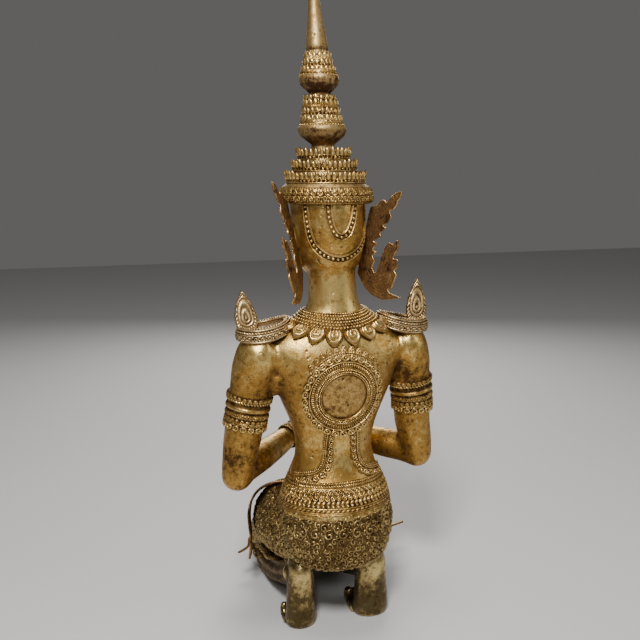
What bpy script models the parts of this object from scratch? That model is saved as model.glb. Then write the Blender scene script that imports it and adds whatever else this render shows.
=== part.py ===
"""A kneeling Thai angel, a thepphanom, in gilt bronze, with its hands joined in salute.

Metres, +Z up. The figure faces -Y and its left side is +X.
Free forms are drawn in shares, each a six-hundredth of the statue's height, with the
torso's own axis at x = y = 0; the whole is then centred over its base.
"""

import math

import bmesh
import bpy
import mathutils
import numpy as np

# Driving sizes, in metres
STATUE_HEIGHT = 0.600
CASTING_GAP = 0.0005
WELD = 0.00002
EAR_PLATE_THICKNESS = 0.0018
SHOULDER_PLATE_THICKNESS = 0.0045
SHOULDER_RIM_DROP = 0.009
FINIAL_THICKNESS = 0.0044
HIP_TAIL_THICKNESS = 0.0024

# One share of the figure's own proportions
SHARE = STATUE_HEIGHT / 600

# How fine the flesh is before it is thinned out, in shares
CORE_VOXEL = 2.2
SKIN_VOXEL = 1.0
BLEND_PASSES = 9
SKIN_PASSES = 1
BODY_FACES = 5200
FIGURE_FACES = 5350

# The head and crown lean to the figure's left above the neck
LEAN_START = 300.0
LEAN_SLOPE = 0.0644

HEAD_TOP = 395.0
GROUND = 0.7

# Torso rings: height, half width, half depth, centre line's y
TORSO = [
    (66, 35, 27, 12), (72, 45.5, 37, 9), (84, 52, 44.5, 5), (98, 54.3, 47.5, 3), (115, 53.6, 45, 2),
    (130, 49.8, 39, 1.5), (142, 45.3, 33.5, 1), (150, 42, 30, 0), (162, 38, 27, -1), (172, 36.5, 26, -2),
    (185, 37.5, 27, -2), (200, 41.8, 29, -2), (215, 48, 31.5, -2), (230, 54, 33.5, -1), (245, 59, 34, 0),
    (258, 64, 32, 1), (270, 64, 28, 2), (280, 57, 24.5, 2), (290, 43, 22.5, 1), (298, 30.5, 22.5, 0),
    (306, 24, 22, -1), (318, 21.8, 21.2, -1), (335, 21.5, 21.5, -1), (352, 23, 23, -2),
]
HEAD = [
    (328.5, 9, 11, -15), (331, 16.5, 18.5, -12.5), (336, 22.5, 25.5, -9.5), (343, 26.5, 30.5, -6.5),
    (352, 29.3, 33.5, -4), (362, 31, 35, -3), (374, 31.8, 36, -2.5), (386, 32, 36, -2), (397, 32, 36, -2),
]
BELT = [
    (126, 50.6, 40, 1.6), (129, 52, 41.1, 1.5), (136, 49.6, 38.3, 1.1), (142.5, 46.8, 35, 1), (145, 44.4, 32.4, 0.8),
]

# Limb stations: x, y, z, half width, half depth
UPPER_ARM = [
    (60, 2, 272, 15, 16), (68, 1, 268, 19.5, 20), (74, -1, 252, 19.8, 20), (76.8, -4, 232, 19, 19),
    (80.3, -5, 210, 17.8, 17.8), (82.8, -5, 188, 17.2, 17.2), (86.5, -4, 168, 15.4, 15.6), (88.3, -5, 153, 14.4, 14.8),
]
FOREARM = [
    (88.3, -4, 153.4, 14.3, 14.3), (80, -17, 155.3, 15, 15), (60, -35, 157.2, 14.2, 14.2),
    (38, -53, 161.6, 12, 12), (20, -67, 167, 9.6, 9.6), (11, -74, 172, 8.6, 8.6),
]
# Both elbows swing a little to the figure's left, and the left one hangs lower
ARM_SWING = 2.4
ELBOW_DROP = 1.6
SWING_TOP = 218.0
SWING_RUN = 30.0
SWING_FROM = 20.0
SWING_REACH = 60.0
HAND = [
    (10.5, -73, 166, 8.4, 9), (7.6, -77, 176, 7.8, 11.5), (6.4, -79, 189, 6.7, 13.8), (5.6, -79, 203, 6, 13.8),
    (5, -78, 216, 5.3, 12.4), (4.3, -77, 229, 4.6, 9.4), (3.4, -76, 239, 3.6, 5),
]
THUMB = [(5.5, -68, 180, 3.6, 4), (4.6, -63.5, 190, 3.6, 3.6), (3.6, -62, 203, 3, 3)]
THIGH = [
    (27, 2, 97, 30, 34), (32, -34, 89, 34, 38.5), (33, -66, 77.5, 31, 34), (33.5, -98, 57, 24.5, 27),
    (34.5, -122, 36, 21.5, 23.5), (34.5, -134, 23, 18, 20),
]
SHIN = [
    (34.5, -132, 17.4, 16.5, 18), (34.5, -104, 18.8, 17.2, 19.6), (34, -64, 26.5, 16.8, 20), (33.5, -30, 37, 14.5, 16),
    (33, -4, 50, 11.5, 13),
]
FOOT = [
    (33, 5.5, 75, 10, 9.5), (33, 6.5, 66, 13, 13), (33, 6.5, 50, 13.8, 12.6), (33, 7, 34, 14.4, 11.6),
    (33, 7.2, 18, 15.4, 12), (33, 6.6, 8, 15.8, 12.4), (33, 5.6, 2.5, 15, 11.8),
]
# Each foot's step outwards from the shin, and its width against the one given
FOOT_OUT = {1: 2.4, -1: 1.8}
FOOT_WIDE = {1: 0.92, -1: 1.09}
TOE_COUNT = 5
TOE_SPREAD = 6.6
TOE_ROOT_Y = 4.0
TOE_REACH = (21.0, 20.0, 18.5, 17.0, 15.0)
TOE_RADIUS = (5.0, 4.1, 3.9, 3.7, 3.6)
TOE_RISE = 14.5
LAP = [(0, -22, 104, 24, 24), (0, -56, 88, 27, 18), (0, -92, 68, 27, 15), (0, -120, 42, 24, 13), (0, -126, 26, 20, 10)]
PENDANT = [
    (0, -27, 146, 12, 3.6), (0, -40, 128, 14, 4), (0, -60, 110.5, 16, 4), (0, -90, 89.5, 17, 4),
    (0, -118, 63, 16, 4), (0, -135, 38, 12.5, 4), (0, -138, 20, 5, 3.4),
]
HEM_ROLL = [(49, -116, 15, 3.2, 4.4), (51.5, -84, 20, 3.2, 5), (49.5, -48, 28, 3, 5), (43.5, -16, 40, 3, 4)]

# Sculpted dress, in shares
COLLAR_TOP = 300.5
# How far the collar's lower edge hangs below its top, at front and back and over the shoulders
COLLAR_BACK_DROP = 16.0
COLLAR_SIDE_DROP = 10.0
COLLAR_LIFT = 2.4
PETAL_COUNT = 16
PETAL_WIDTH = 17.5
PETAL_LENGTH = 13.0
PETAL_LIFT = 4.6
MEDALLION_Z = 228.0
CHEST_MEDALLION_Z = 233.0
MEDALLION_DISC = 21.0
MEDALLION_RING = 33.0
MEDALLION_FRINGE = 38.0
MEDALLION_LOBES = 24
ARM_BAND_LEFT = (0.452, 0.638)
ARM_BAND_RIGHT = (0.42, 0.63)
ARM_BAND_LIFT = 2.4
WRIST_BAND = (0.68, 0.88)
STRAP_HALF_WIDTH = 6.0
STRAP_LIFT = 2.6
# Straps from the medallions to the belt: distance from the middle line, height
BACK_STRAP = [(14, 200), (15, 180), (16, 168), (20, 160), (28, 155), (38, 152), (46, 150)]
CHEST_STRAP = [(13, 222), (17, 204), (23, 182), (31, 160), (40, 141)]
BURIED = 3.0
# Loops that hang from the crown on the back of the head: distance round, height
HEAD_STRAP = [
    (-43, 398), (-41, 380), (-34, 362), (-19, 348.5), (0, 344.5), (19, 348.5), (34, 362), (41, 380), (43, 398),
]
HEAD_LOOP = [(-13.5, 398), (-13, 380), (-8.5, 367), (0, 362.5), (8.5, 367), (13, 380), (13.5, 398)]
HEAD_STRAP_LIFT = 1.7

# Crown rings: height, radius
CROWN = [
    (395.5, 0), (395.5, 37.5), (397, 40.2), (401, 41), (407, 40.2), (410.5, 38.4), (412.5, 35),
    (413, 35.6), (421.5, 34), (422, 30.4), (422.5, 28.8), (431, 27.4), (431.5, 24.6), (432, 23.2),
    (441.5, 22.4), (442, 17), (443, 10.8), (446, 10.2), (449, 14), (453, 19.4), (458, 21.4), (463.5, 20.2),
    (468.5, 16.8), (476, 16.2), (477.5, 14.8), (486, 13.4), (487, 9.6), (488.5, 9), (491.5, 12.4), (495.5, 16.4),
    (500, 17.6), (505.5, 16), (509, 13.4), (515, 12.8), (516.5, 11.4), (521.5, 10.6), (522.5, 8.4),
    (525, 9.4), (531, 9), (548, 6.6), (568, 4.4), (586, 2.6), (597, 1.3), (600, 0),
]
CROWN_SIDES = 22
# Rings whose rim stands in points: ring number, how far the points rise
CROWN_POINTS = {8: 2.4, 11: 2.6, 14: 3.2}

# The ear plate's outline: reach from its root line, height
EAR_PLANE_START = (24.8, -2.2)
EAR_PLANE_HEADING = {1: (0.50, 0.866), -1: (0.574, 0.819)}
# The left plate is drawn taller than the right, and leans outwards
EAR_STRETCH = {1: 1.09, -1: 1.0}
EAR_TILT = {1: 0.08, -1: 0.0}
EAR_FOOT = 312.0
EAR_OUTLINE = [
    (0.5, 333), (5, 347), (9.5, 362), (13, 376), (17, 388), (19, 392.5), (25.5, 394.5), (30, 398.6), (34.5, 399),
    (36, 396.4), (41, 402), (47, 406), (52.5, 406.6), (50.5, 401), (47, 397.5), (47.5, 396.4), (43.5, 391.5),
    (38.5, 389.6), (40.6, 384.4), (35.5, 379), (30.5, 376.6), (34.5, 375.2), (27.5, 369.8), (29, 367.4),
    (19.5, 362.6), (24, 360.8), (18.5, 354.8), (23, 353), (18, 350), (20.5, 345), (17, 339), (19, 334.6),
    (21.6, 336), (25, 342), (28, 350), (32, 358), (36.5, 362.6), (40.5, 361), (46, 365.6), (46, 358), (42, 352.5),
    (40, 348), (44.5, 348.4), (44.5, 341), (40.5, 338), (43, 334.6), (40.5, 329.8), (37, 322), (32.5, 320.6),
    (35, 317.4), (46.5, 314.4), (36, 312), (25.5, 310.6), (16, 313.6), (9, 319), (4, 326),
]

# The shoulder ornament: an oval plate with a hanging rim and an upright flame
SHOULDER_CENTRE = (65.5, 1.5, 287.0)
SHOULDER_HALF_SIZE = (23.4, 18.5)
SHOULDER_SLOPE = -0.16
SHOULDER_SHEER = 3.0
SHOULDER_SIDES = 20
FINIAL_FOOT = (79.2, 3.0, 283.5)
FINIAL_EDGE = [(7, 0), (9.6, 6), (10.8, 11), (10.2, 16.5), (8.6, 22.5), (6.2, 28), (3, 33.5)]
FINIAL_TIP = 37.5
# The right flame stands taller than the left
FINIAL_STRETCH = {1: 1.0, -1: 1.1}

# The hip tail's sheet, out over the thigh and down: back edge x, back y, height, front edge x, front y
HIP_TAIL = [
    (34, -30, 126, 33, -54), (43, -35, 127.5, 41, -60), (54, -37, 125.5, 50, -66), (64, -42, 118, 58, -74),
    (70, -46, 107, 63, -80), (72.5, -50, 93, 64.5, -84), (71.5, -54, 79, 64, -86), (69.5, -58, 65, 63.5, -85),
    (68.8, -61, 53, 64, -84),
]
HIP_TAIL_FALL = 0.42
HIP_TAIL_FRONT_POINT = [(68.6, -70, 56, 65, -84), (70.5, -68, 48, 68, -80), (75, -70, 43.5, 73, -79), (80, -72, 40.5, 79.5, -76)]
# The right tail's back point is bent up and out, the left one's hangs
HIP_TAIL_BACK_POINT = {
    1: [(68.7, -60, 56, 67.5, -70), (68.3, -61.5, 46, 68, -68), (70, -62.5, 37, 70, -65.5)],
    -1: [(68.7, -60, 57, 67.5, -70), (74, -60, 50, 73, -67), (85, -60, 52.5, 84, -65), (97, -61, 54.5, 97, -63.5)],
}

GOLD = (0.56, 0.39, 0.14, 1.0)
DARK_GOLD = (0.42, 0.28, 0.10, 1.0)


def clear_scene():
    """Empties the startup scene."""
    for item in list(bpy.data.objects):
        bpy.data.objects.remove(item)


def finish_material(name, colour, roughness):
    """A plain gilt bronze."""
    made = bpy.data.materials.new(name)
    made.use_nodes = True
    shader = made.node_tree.nodes["Principled BSDF"]
    shader.inputs["Base Color"].default_value = colour
    shader.inputs["Roughness"].default_value = roughness
    shader.inputs["Metallic"].default_value = 1.0
    return made


def spline(stations, count):
    """Rows of numbers resampled along a smooth curve through the stations."""
    points = np.array(stations, float)
    padded = np.vstack([2 * points[0] - points[1], points, 2 * points[-1] - points[-2]])
    at = np.linspace(0, len(points) - 1, count)
    span = np.minimum(at.astype(int), len(points) - 2)
    t = (at - span)[:, None]
    a, b, c, d = (padded[span + k] for k in range(4))
    return 0.5 * (2 * b + (c - a) * t + (2 * a - 5 * b + 4 * c - d) * t**2 + (3 * b - a - 3 * c + d) * t**3)


def lean(points):
    """Shifts points above the neck towards the figure's left."""
    moved = points.copy()
    moved[:, 0] += LEAN_SLOPE * np.maximum(points[:, 2] - LEAN_START, 0)
    return moved


def skin_rings(rings, first_tip, last_tip):
    """Points and faces of a closed body over rows of rings, closed by a tip at each end."""
    rows, sides, _ = rings.shape
    points = np.vstack([rings.reshape(-1, 3), first_tip, last_tip])
    faces = []
    for row in range(rows - 1):
        for k in range(sides):
            after = (k + 1) % sides
            faces.append((row * sides + k, row * sides + after, (row + 1) * sides + after, (row + 1) * sides + k))
    last = (rows - 1) * sides
    for k in range(sides):
        after = (k + 1) % sides
        faces.append((after, k, rows * sides))
        faces.append((last + k, last + after, rows * sides + 1))
    return points, faces


def stack(sections, count, sides):
    """A closed body of level ovals: each section is height, half width, half depth, centre y."""
    rows = spline(sections, count)
    turn = np.linspace(0, 2 * math.pi, sides, endpoint=False)
    x = rows[:, 1, None] * np.cos(turn)
    y = rows[:, 3, None] + rows[:, 2, None] * np.sin(turn)
    z = np.repeat(rows[:, :1], sides, axis=1)
    tips = [(0, rows[k, 3], rows[k, 0]) for k in (0, -1)]
    return skin_rings(np.stack([x, y, z], axis=2), *tips)


def limb(stations, across, count=14, sides=14, bulge=0.5):
    """A closed tube of ovals along a smooth path, its half width lying along across."""
    rows = spline(stations, count)
    centre = rows[:, :3]
    along = np.gradient(centre, axis=0)
    along /= np.linalg.norm(along, axis=1)[:, None]
    across = np.array(across, float)
    side = across - (along @ across)[:, None] * along
    side /= np.linalg.norm(side, axis=1)[:, None]
    deep = np.cross(along, side)
    turn = np.linspace(0, 2 * math.pi, sides, endpoint=False)[None, :, None]
    half = rows[:, 3:5]
    rings = (
        centre[:, None]
        + half[:, 0, None, None] * np.cos(turn) * side[:, None]
        + half[:, 1, None, None] * np.sin(turn) * deep[:, None]
    )
    first = centre[0] - along[0] * half[0].min() * bulge
    last = centre[-1] + along[-1] * half[-1].min() * bulge
    return skin_rings(rings, first, last)


def mirrored(part):
    """The same body on the other side of x = 0."""
    points, faces = part
    return points * (-1, 1, 1), [tuple(reversed(face)) for face in faces]


def both_sides(part):
    """The body and its mirror image."""
    return [part, mirrored(part)]


def swung(stations, side):
    """An arm's stations on one side, moved by a swing that grows downwards and away from the hands."""
    placed = []
    for x, y, z, half_width, half_depth in stations:
        down = min(max((SWING_TOP - z) / SWING_RUN, 0.0), 1.0)
        out = min(max((x - SWING_FROM) / SWING_REACH, 0.0), 1.0)
        share = down * down * (3 - 2 * down) * out
        placed.append((side * x + ARM_SWING * share, y, z - side * ELBOW_DROP * share, half_width, half_depth))
    return placed


def solid(name, parts):
    """One object holding several closed bodies, with every face turned outwards."""
    mesh = bpy.data.meshes.new(name)
    whole = bmesh.new()
    for points, faces in parts:
        piece = bmesh.new()
        corners = [piece.verts.new(point * SHARE) for point in np.asarray(points, float)]
        for face in faces:
            piece.faces.new([corners[k] for k in face])
        bmesh.ops.recalc_face_normals(piece, faces=piece.faces)
        piece.to_mesh(mesh)
        piece.free()
        whole.from_mesh(mesh)
    whole.to_mesh(mesh)
    whole.free()
    made = bpy.data.objects.new(name, mesh)
    bpy.context.scene.collection.objects.link(made)
    return made


def settled(item, name):
    """A new object with the modifiers of the old one worked into its mesh; the old one goes."""
    bpy.context.view_layer.update()
    graph = bpy.context.evaluated_depsgraph_get()
    mesh = bpy.data.meshes.new_from_object(item.evaluated_get(graph))
    bpy.data.objects.remove(item)
    made = bpy.data.objects.new(name, mesh)
    made.name = name
    bpy.context.scene.collection.objects.link(made)
    return made


def add_remesh(item, voxel):
    """Melts overlapping bodies into one skin."""
    remesh = item.modifiers.new("melt", "REMESH")
    remesh.mode = "VOXEL"
    remesh.voxel_size = voxel * SHARE
    remesh.use_smooth_shade = True


def add_smooth(item, passes):
    """Softens the joins between limbs."""
    smooth = item.modifiers.new("soften", "SMOOTH")
    smooth.factor = 0.5
    smooth.iterations = passes


class OvalSurface:
    """Places points on a stack of ovals by distance round it from a centre line, height and lift.

    The centre line is the back's where side is 1, and the front's where it is -1.
    """

    def __init__(self, sections, side):
        self.side = side
        self.rows = spline(sections, 120)
        self.turns = np.linspace(0, math.pi, 181)

    def point(self, around, height, lift):
        """The point at one distance round, height and lift off the skin."""
        wide, deep, middle = (np.interp(height, self.rows[:, 0], self.rows[:, k]) for k in (1, 2, 3))
        x = wide * np.sin(self.turns)
        y = deep * np.cos(self.turns)
        run = np.concatenate([[0], np.cumsum(np.hypot(np.diff(x), np.diff(y)))])
        turn = math.copysign(np.interp(abs(around), run, self.turns), around)
        skin = np.array([wide * math.sin(turn), middle + self.side * deep * math.cos(turn), height])
        out = np.array([math.sin(turn) / wide, self.side * math.cos(turn) / deep, 0.0])
        out /= np.linalg.norm(out)
        return skin + lift * out


def collar_edge(sine):
    """The height of the collar's lower edge at the sine of a turn from the figure's left."""
    return COLLAR_TOP - COLLAR_SIDE_DROP - (COLLAR_BACK_DROP - COLLAR_SIDE_DROP) * sine**2


def draped_collar():
    """The collar: a band of the torso's own surface, raised, from the neck out over the shoulders."""
    rows = spline(TORSO, 200)
    turns = np.linspace(0, 2 * math.pi, 32, endpoint=False)
    shares = np.linspace(0, 1, 4)
    rings = []
    for lift, order in ((COLLAR_LIFT, shares), (-BURIED, shares[::-1])):
        for share in order:
            edge = collar_edge(np.sin(turns))
            height = COLLAR_TOP + share * (edge - COLLAR_TOP)
            wide, deep, middle = (np.interp(height, rows[:, 0], rows[:, k]) for k in (1, 2, 3))
            rings.append(
                np.stack([(wide + lift) * np.cos(turns), middle + (deep + lift) * np.sin(turns), height + lift], 1)
            )
    rings.append(rings[0])
    grid = np.array(rings)
    count, sides, _ = grid.shape
    faces = []
    for row in range(count - 1):
        below = (row + 1) % (count - 1)
        for k in range(sides):
            after = (k + 1) % sides
            faces.append((row * sides + k, row * sides + after, below * sides + after, below * sides + k))
    return grid[:-1].reshape(-1, 3), faces


def petal(root, down, out, width, length, lift):
    """A leaf with a raised middle that hangs from root, tilted off the skin at its tip."""
    down = down / np.linalg.norm(down)
    out = out / np.linalg.norm(out)
    side = np.cross(down, out)
    outline = [(-0.34, -0.1), (-0.5, 0.3), (-0.4, 0.62), (0, 1.0), (0.4, 0.62), (0.5, 0.3), (0.34, -0.1)]
    tilt = 0.12
    rim = [root + side * u * width + down * v * length + out * (0.8 + tilt * v * length) for u, v in outline]
    base = [p - out * (BURIED + tilt * v * length) for p, (_, v) in zip(rim, outline)]
    crest = root + down * 0.4 * length + out * (lift + tilt * 0.4 * length)
    foot = root + down * 0.4 * length - out * BURIED
    points = np.array([*rim, *base, crest, foot])
    n = len(outline)
    faces = []
    for k in range(n):
        after = (k + 1) % n
        faces += [(k, after, n + after, n + k), (after, k, 2 * n), (n + k, n + after, 2 * n + 1)]
    return points, faces


def collar_petals():
    """Leaves hanging all round the collar's lower edge."""
    rows = spline(TORSO, 200)
    made = []
    for k in range(PETAL_COUNT):
        turn = 2 * math.pi * (k + 0.5) / PETAL_COUNT + math.pi / 2
        edge = collar_edge(math.sin(turn))
        spots = []
        for height in (edge + 1.5, edge - 3.5):
            wide, deep, middle = (np.interp(height, rows[:, 0], rows[:, n]) for n in (1, 2, 3))
            spots.append(np.array([wide * math.cos(turn), middle + deep * math.sin(turn), height]))
        down = spots[1] - spots[0]
        round_it = np.array([-math.sin(turn), math.cos(turn), 0])
        out = np.cross(round_it, down)
        if out @ (math.cos(turn), math.sin(turn), 0.6) < 0:
            out = -out
        made.append(petal(spots[0], down, out, PETAL_WIDTH, PETAL_LENGTH, PETAL_LIFT))
    return made


def surface_ring(surface, centre, radii, lifts, sides, lobes, lobe_depth, crest):
    """A raised disc on a surface: rings of given radius and lift, the outer two lobed and taller at the top."""
    turns = np.linspace(0, 2 * math.pi, sides, endpoint=False)
    rings = []
    for number, (radius, lift) in enumerate(zip(radii, lifts)):
        outer = number == len(radii) - 1 or number == len(radii) - 2
        swelling = lobe_depth * np.cos(lobes * turns) + crest * np.maximum(np.cos(turns), 0) ** 6
        spread = radius * (1 + swelling * outer)
        rings.append(
            [
                surface.point(centre[0] + r * math.sin(t), centre[1] + r * math.cos(t), lift)
                for r, t in zip(spread, turns)
            ]
        )
    tip = surface.point(centre[0], centre[1], lifts[0])
    foot = surface.point(centre[0], centre[1], lifts[-1])
    return skin_rings(np.array(rings), tip, foot)


def surface_strap(surface, route, half_width, lift, count=12):
    """A flat band on a surface along a route of distance round and height."""
    path = spline(route, count)
    heading = np.gradient(path, axis=0)
    heading /= np.linalg.norm(heading, axis=1)[:, None]
    across = np.stack([-heading[:, 1], heading[:, 0]], 1)
    section = [(-1, -BURIED), (-1, lift * 0.6), (-0.75, lift), (0.75, lift), (1, lift * 0.6), (1, -BURIED)]
    rings = [
        [surface.point(*(spot + half_width * u * sideways), rise) for u, rise in section]
        for spot, sideways in zip(path, across)
    ]
    rings = np.array(rings)
    return skin_rings(rings, rings[0].mean(0), rings[-1].mean(0))


def band_on_limb(stations, across, spread, lift, count=5):
    """A bracelet over part of a limb, flared at its two edges."""
    rows = spline(stations, 61)
    picked = rows[np.linspace(spread[0] * 60, spread[1] * 60, count).astype(int)].copy()
    flare = np.abs(np.linspace(-1, 1, count))[:, None] ** 2
    picked[:, 3:5] += lift + 1.1 * flare
    return limb(picked, across, count=count, sides=16, bulge=-0.2)


def planted(side):
    """A foot's stations on one side, moved out from the shin and at that foot's own width."""
    return [
        (side * (x + FOOT_OUT[side]), y, z, half_width * FOOT_WIDE[side], half_depth)
        for x, y, z, half_width, half_depth in FOOT
    ]


def elbow(side):
    """The stations of a round knob where an arm turns."""
    x, y, z, half_width, half_depth = swung(UPPER_ARM, side)[-1]
    return [
        (x, y, z + half_width * np.sin(turn), half_width * np.cos(turn), half_depth * np.cos(turn))
        for turn in np.linspace(-1.3, 1.3, 7)
    ]


def toes(side):
    """Five toes bent forward on the ground, the big toe inside, their tips turned up."""
    made = []
    spread = TOE_SPREAD * FOOT_WIDE[side]
    for k in range(TOE_COUNT):
        x = side * (FOOT[0][0] + FOOT_OUT[side] + spread * (k - (TOE_COUNT - 1) / 2))
        r = TOE_RADIUS[k]
        reach = TOE_REACH[k]
        made.append(
            limb(
                [
                    (x, TOE_ROOT_Y, r, r, r + 1),
                    (x, TOE_ROOT_Y - 0.6 * reach, r - 0.6, r, r),
                    (x, TOE_ROOT_Y - reach, r + 0.35 * TOE_RISE, r, r),
                    (x, TOE_ROOT_Y - 0.92 * reach, TOE_RISE - 1, r * 0.8, r * 0.8),
                ],
                (1, 0, 0),
                count=9,
                sides=10,
                bulge=0.8,
            )
        )
    return made


def face_forms():
    """Nose, brows, closed eyes, lips, chin and long ears, on calm and even proportions."""
    made = [
        limb([(0, -38, 372, 2.6, 2), (0, -40.5, 363, 3, 2.6), (0, -42, 356.5, 4.4, 3.6)], (1, 0, 0), 6, 10),
        limb([(-7.5, -35.2, 345.6, 1.6, 1.2), (0, -38.6, 346.4, 3, 2.4), (7.5, -35.2, 345.6, 1.6, 1.2)], (0, 0, 1), 8, 8),
        limb([(-6, -34.2, 342.6, 1.6, 1.2), (0, -37.2, 342.4, 3, 2.8), (6, -34.2, 342.6, 1.6, 1.2)], (0, 0, 1), 8, 8),
        limb([(0, -31.5, 335.5, 6, 4.6), (0, -31, 331.5, 4, 3)], (1, 0, 0), 4, 10),
    ]
    brow = [(1.5, -39.4, 372, 1.5, 1.8), (9, -38.4, 377.4, 1.7, 2), (18, -33, 377.6, 1.6, 1.9), (25, -25.2, 373.4, 1, 1.4)]
    eye = [(5, -36.8, 366, 2, 2), (11.5, -34.8, 367, 3.4, 3.6), (18.6, -30.4, 367.6, 1.8, 2)]
    ear = [(32, -3, 374, 3, 5.4), (33, -2, 362, 3.2, 6), (31, -3, 350, 2.6, 4.2), (28.6, -3, 339, 2.4, 3.6)]
    for stations in (brow, eye):
        made += both_sides(limb(stations, (0, 0, 1), 8, 8))
    made += both_sides(limb(ear, (1, 0, 0), 8, 10))
    return [(lean(points), faces) for points, faces in made]


def flesh():
    """The body's own masses, melted together and softened at their joins."""
    torso_points, torso_faces = stack(TORSO, 60, 32)
    masses = [(lean(torso_points), torso_faces)]
    for side in (1, -1):
        masses.append(limb(swung(UPPER_ARM, side), (1, 0, 0), 18, 16))
        masses.append(limb(swung(FOREARM, side), (0, 0, 1), 14, 16))
        masses.append(limb(elbow(side), (1, 0, 0), 9, 16))
        masses.append(limb(planted(side), (1, 0, 0), 14, 16))
    masses += both_sides(limb(THIGH, (1, 0, 0), 16, 18))
    masses += both_sides(limb(SHIN, (1, 0, 0), 14, 16))
    masses.append(limb(LAP, (1, 0, 0), 12, 18))
    core = solid("core", masses)
    add_remesh(core, CORE_VOXEL)
    add_smooth(core, BLEND_PASSES)
    return settled(core, "core")


def features():
    """The finer forms of the body: head, face, hands, toes and the cloth over the lap."""
    head_points, head_faces = stack(HEAD, 22, 28)
    parts = [(lean(head_points), head_faces)]
    parts += face_forms()
    parts += both_sides(limb(HAND, (1, 0, 0), 14, 14)) + both_sides(limb(THUMB, (1, 0, 0), 6, 10))
    parts += toes(1) + toes(-1)
    parts.append(limb(PENDANT, (1, 0, 0), 16, 12))
    parts += both_sides(limb(HEM_ROLL, (1, 0, 0), 12, 8))
    return solid("features", parts)


def dress():
    """The jewellery cast on the body: armbands, bracelets, belt, collar, medallions and straps."""
    back, front, nape = OvalSurface(TORSO, 1), OvalSurface(TORSO, -1), OvalSurface(HEAD, 1)
    parts = []
    for side, spread in ((1, ARM_BAND_LEFT), (-1, ARM_BAND_RIGHT)):
        parts.append(band_on_limb(swung(UPPER_ARM, side), (1, 0, 0), spread, ARM_BAND_LIFT, 7))
        parts.append(band_on_limb(swung(FOREARM, side), (0, 0, 1), WRIST_BAND, 2.4, 4))
    parts.append(stack(BELT, 5, 32))
    parts.append(draped_collar())
    parts += collar_petals()
    radii = np.array(
        (MEDALLION_DISC, MEDALLION_DISC + 1, MEDALLION_RING, MEDALLION_RING + 1, MEDALLION_FRINGE, MEDALLION_FRINGE)
    )
    lifts = (1.2, 4.4, 4.4, 2.6, 2.2, -BURIED)
    for surface, height, size in ((back, MEDALLION_Z, 1.0), (front, CHEST_MEDALLION_Z, 0.6)):
        parts.append(
            surface_ring(
                surface, (0.0, height), radii * size, lifts, 2 * MEDALLION_LOBES, MEDALLION_LOBES, 0.045, 0.17
            )
        )
    for side in (1, -1):
        for surface, route in ((back, BACK_STRAP), (front, CHEST_STRAP)):
            sided = [(side * a, z) for a, z in route]
            parts.append(surface_strap(surface, sided, STRAP_HALF_WIDTH, STRAP_LIFT))
    for route, half_width in ((HEAD_STRAP, 3.0), (HEAD_LOOP, 2.6)):
        points, faces = surface_strap(nape, route, half_width, HEAD_STRAP_LIFT, 17)
        parts.append((lean(points), faces))
    return solid("dress", parts)


def build_figure(gilt):
    """The cast figure in one piece, thinned to a light mesh, flat under its knees and toes."""
    core = flesh()
    extra = features()
    bpy.ops.object.select_all(action="DESELECT")
    extra.select_set(True)
    core.select_set(True)
    bpy.context.view_layer.objects.active = core
    bpy.ops.object.join()
    add_remesh(core, SKIN_VOXEL)
    add_smooth(core, SKIN_PASSES)
    figure = settled(core, "figure")
    thin = figure.modifiers.new("thin", "DECIMATE")
    thin.ratio = min(1.0, BODY_FACES / (2 * len(figure.data.polygons)))
    figure = settled(figure, "figure")
    jewels = dress()
    cast = figure.modifiers.new("cast", "BOOLEAN")
    cast.operation = "UNION"
    cast.object = jewels
    cast.use_self = True
    figure = settled(figure, "figure")
    bpy.data.objects.remove(jewels)
    tidy_edges(figure)
    thin = figure.modifiers.new("thin", "DECIMATE")
    thin.ratio = min(1.0, FIGURE_FACES / len(figure.data.polygons))
    figure = settled(figure, "figure")
    cut_flat(figure, (0, 0, GROUND * SHARE), (0, 0, -1))
    cut_flat(figure, (0, 0, HEAD_TOP * SHARE), (0, 0, 1))
    tidy_edges(figure)
    figure.data.materials.clear()
    figure.data.materials.append(gilt)
    return figure


def cut_flat(item, spot, outward):
    """Cuts an object off at a plane and closes the cut with a flat face."""
    cut = bmesh.new()
    cut.from_mesh(item.data)
    everything = list(cut.verts) + list(cut.edges) + list(cut.faces)
    done = bmesh.ops.bisect_plane(cut, geom=everything, plane_co=spot, plane_no=outward, clear_outer=True)
    rim = [edge for edge in done["geom_cut"] if isinstance(edge, bmesh.types.BMEdge)]
    bmesh.ops.holes_fill(cut, edges=rim, sides=0)
    bmesh.ops.triangulate(cut, faces=[face for face in cut.faces if len(face.verts) > 4])
    bmesh.ops.recalc_face_normals(cut, faces=cut.faces)
    cut.to_mesh(item.data)
    cut.free()


def tidy_edges(item):
    """Merges the shortest edges that the cuts and joins leave."""
    mesh = bmesh.new()
    mesh.from_mesh(item.data)
    bmesh.ops.remove_doubles(mesh, verts=mesh.verts, dist=WELD)
    bmesh.ops.dissolve_degenerate(mesh, edges=mesh.edges, dist=WELD / 4)
    bmesh.ops.triangulate(mesh, faces=mesh.faces)
    mesh.to_mesh(item.data)
    mesh.free()


def build_crown(gilt):
    """The tiered crown and spire, turned round its axis, with points round its three tiers."""
    turns = np.linspace(0, 2 * math.pi, CROWN_SIDES, endpoint=False)
    rings = []
    for number, (height, radius) in enumerate(CROWN[1:-1], start=1):
        rise = CROWN_POINTS.get(number, 0) * (np.arange(CROWN_SIDES) % 2)
        rings.append(np.stack([radius * np.cos(turns), radius * np.sin(turns), height + rise], 1))
    points, faces = skin_rings(np.array(rings), (0, 0, CROWN[0][0]), (0, 0, CROWN[-1][0]))
    points[:, 1] += HEAD[-1][3]
    crown = solid("crown", [(lean(points), faces)])
    crown.data.materials.append(gilt)
    return crown


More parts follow.
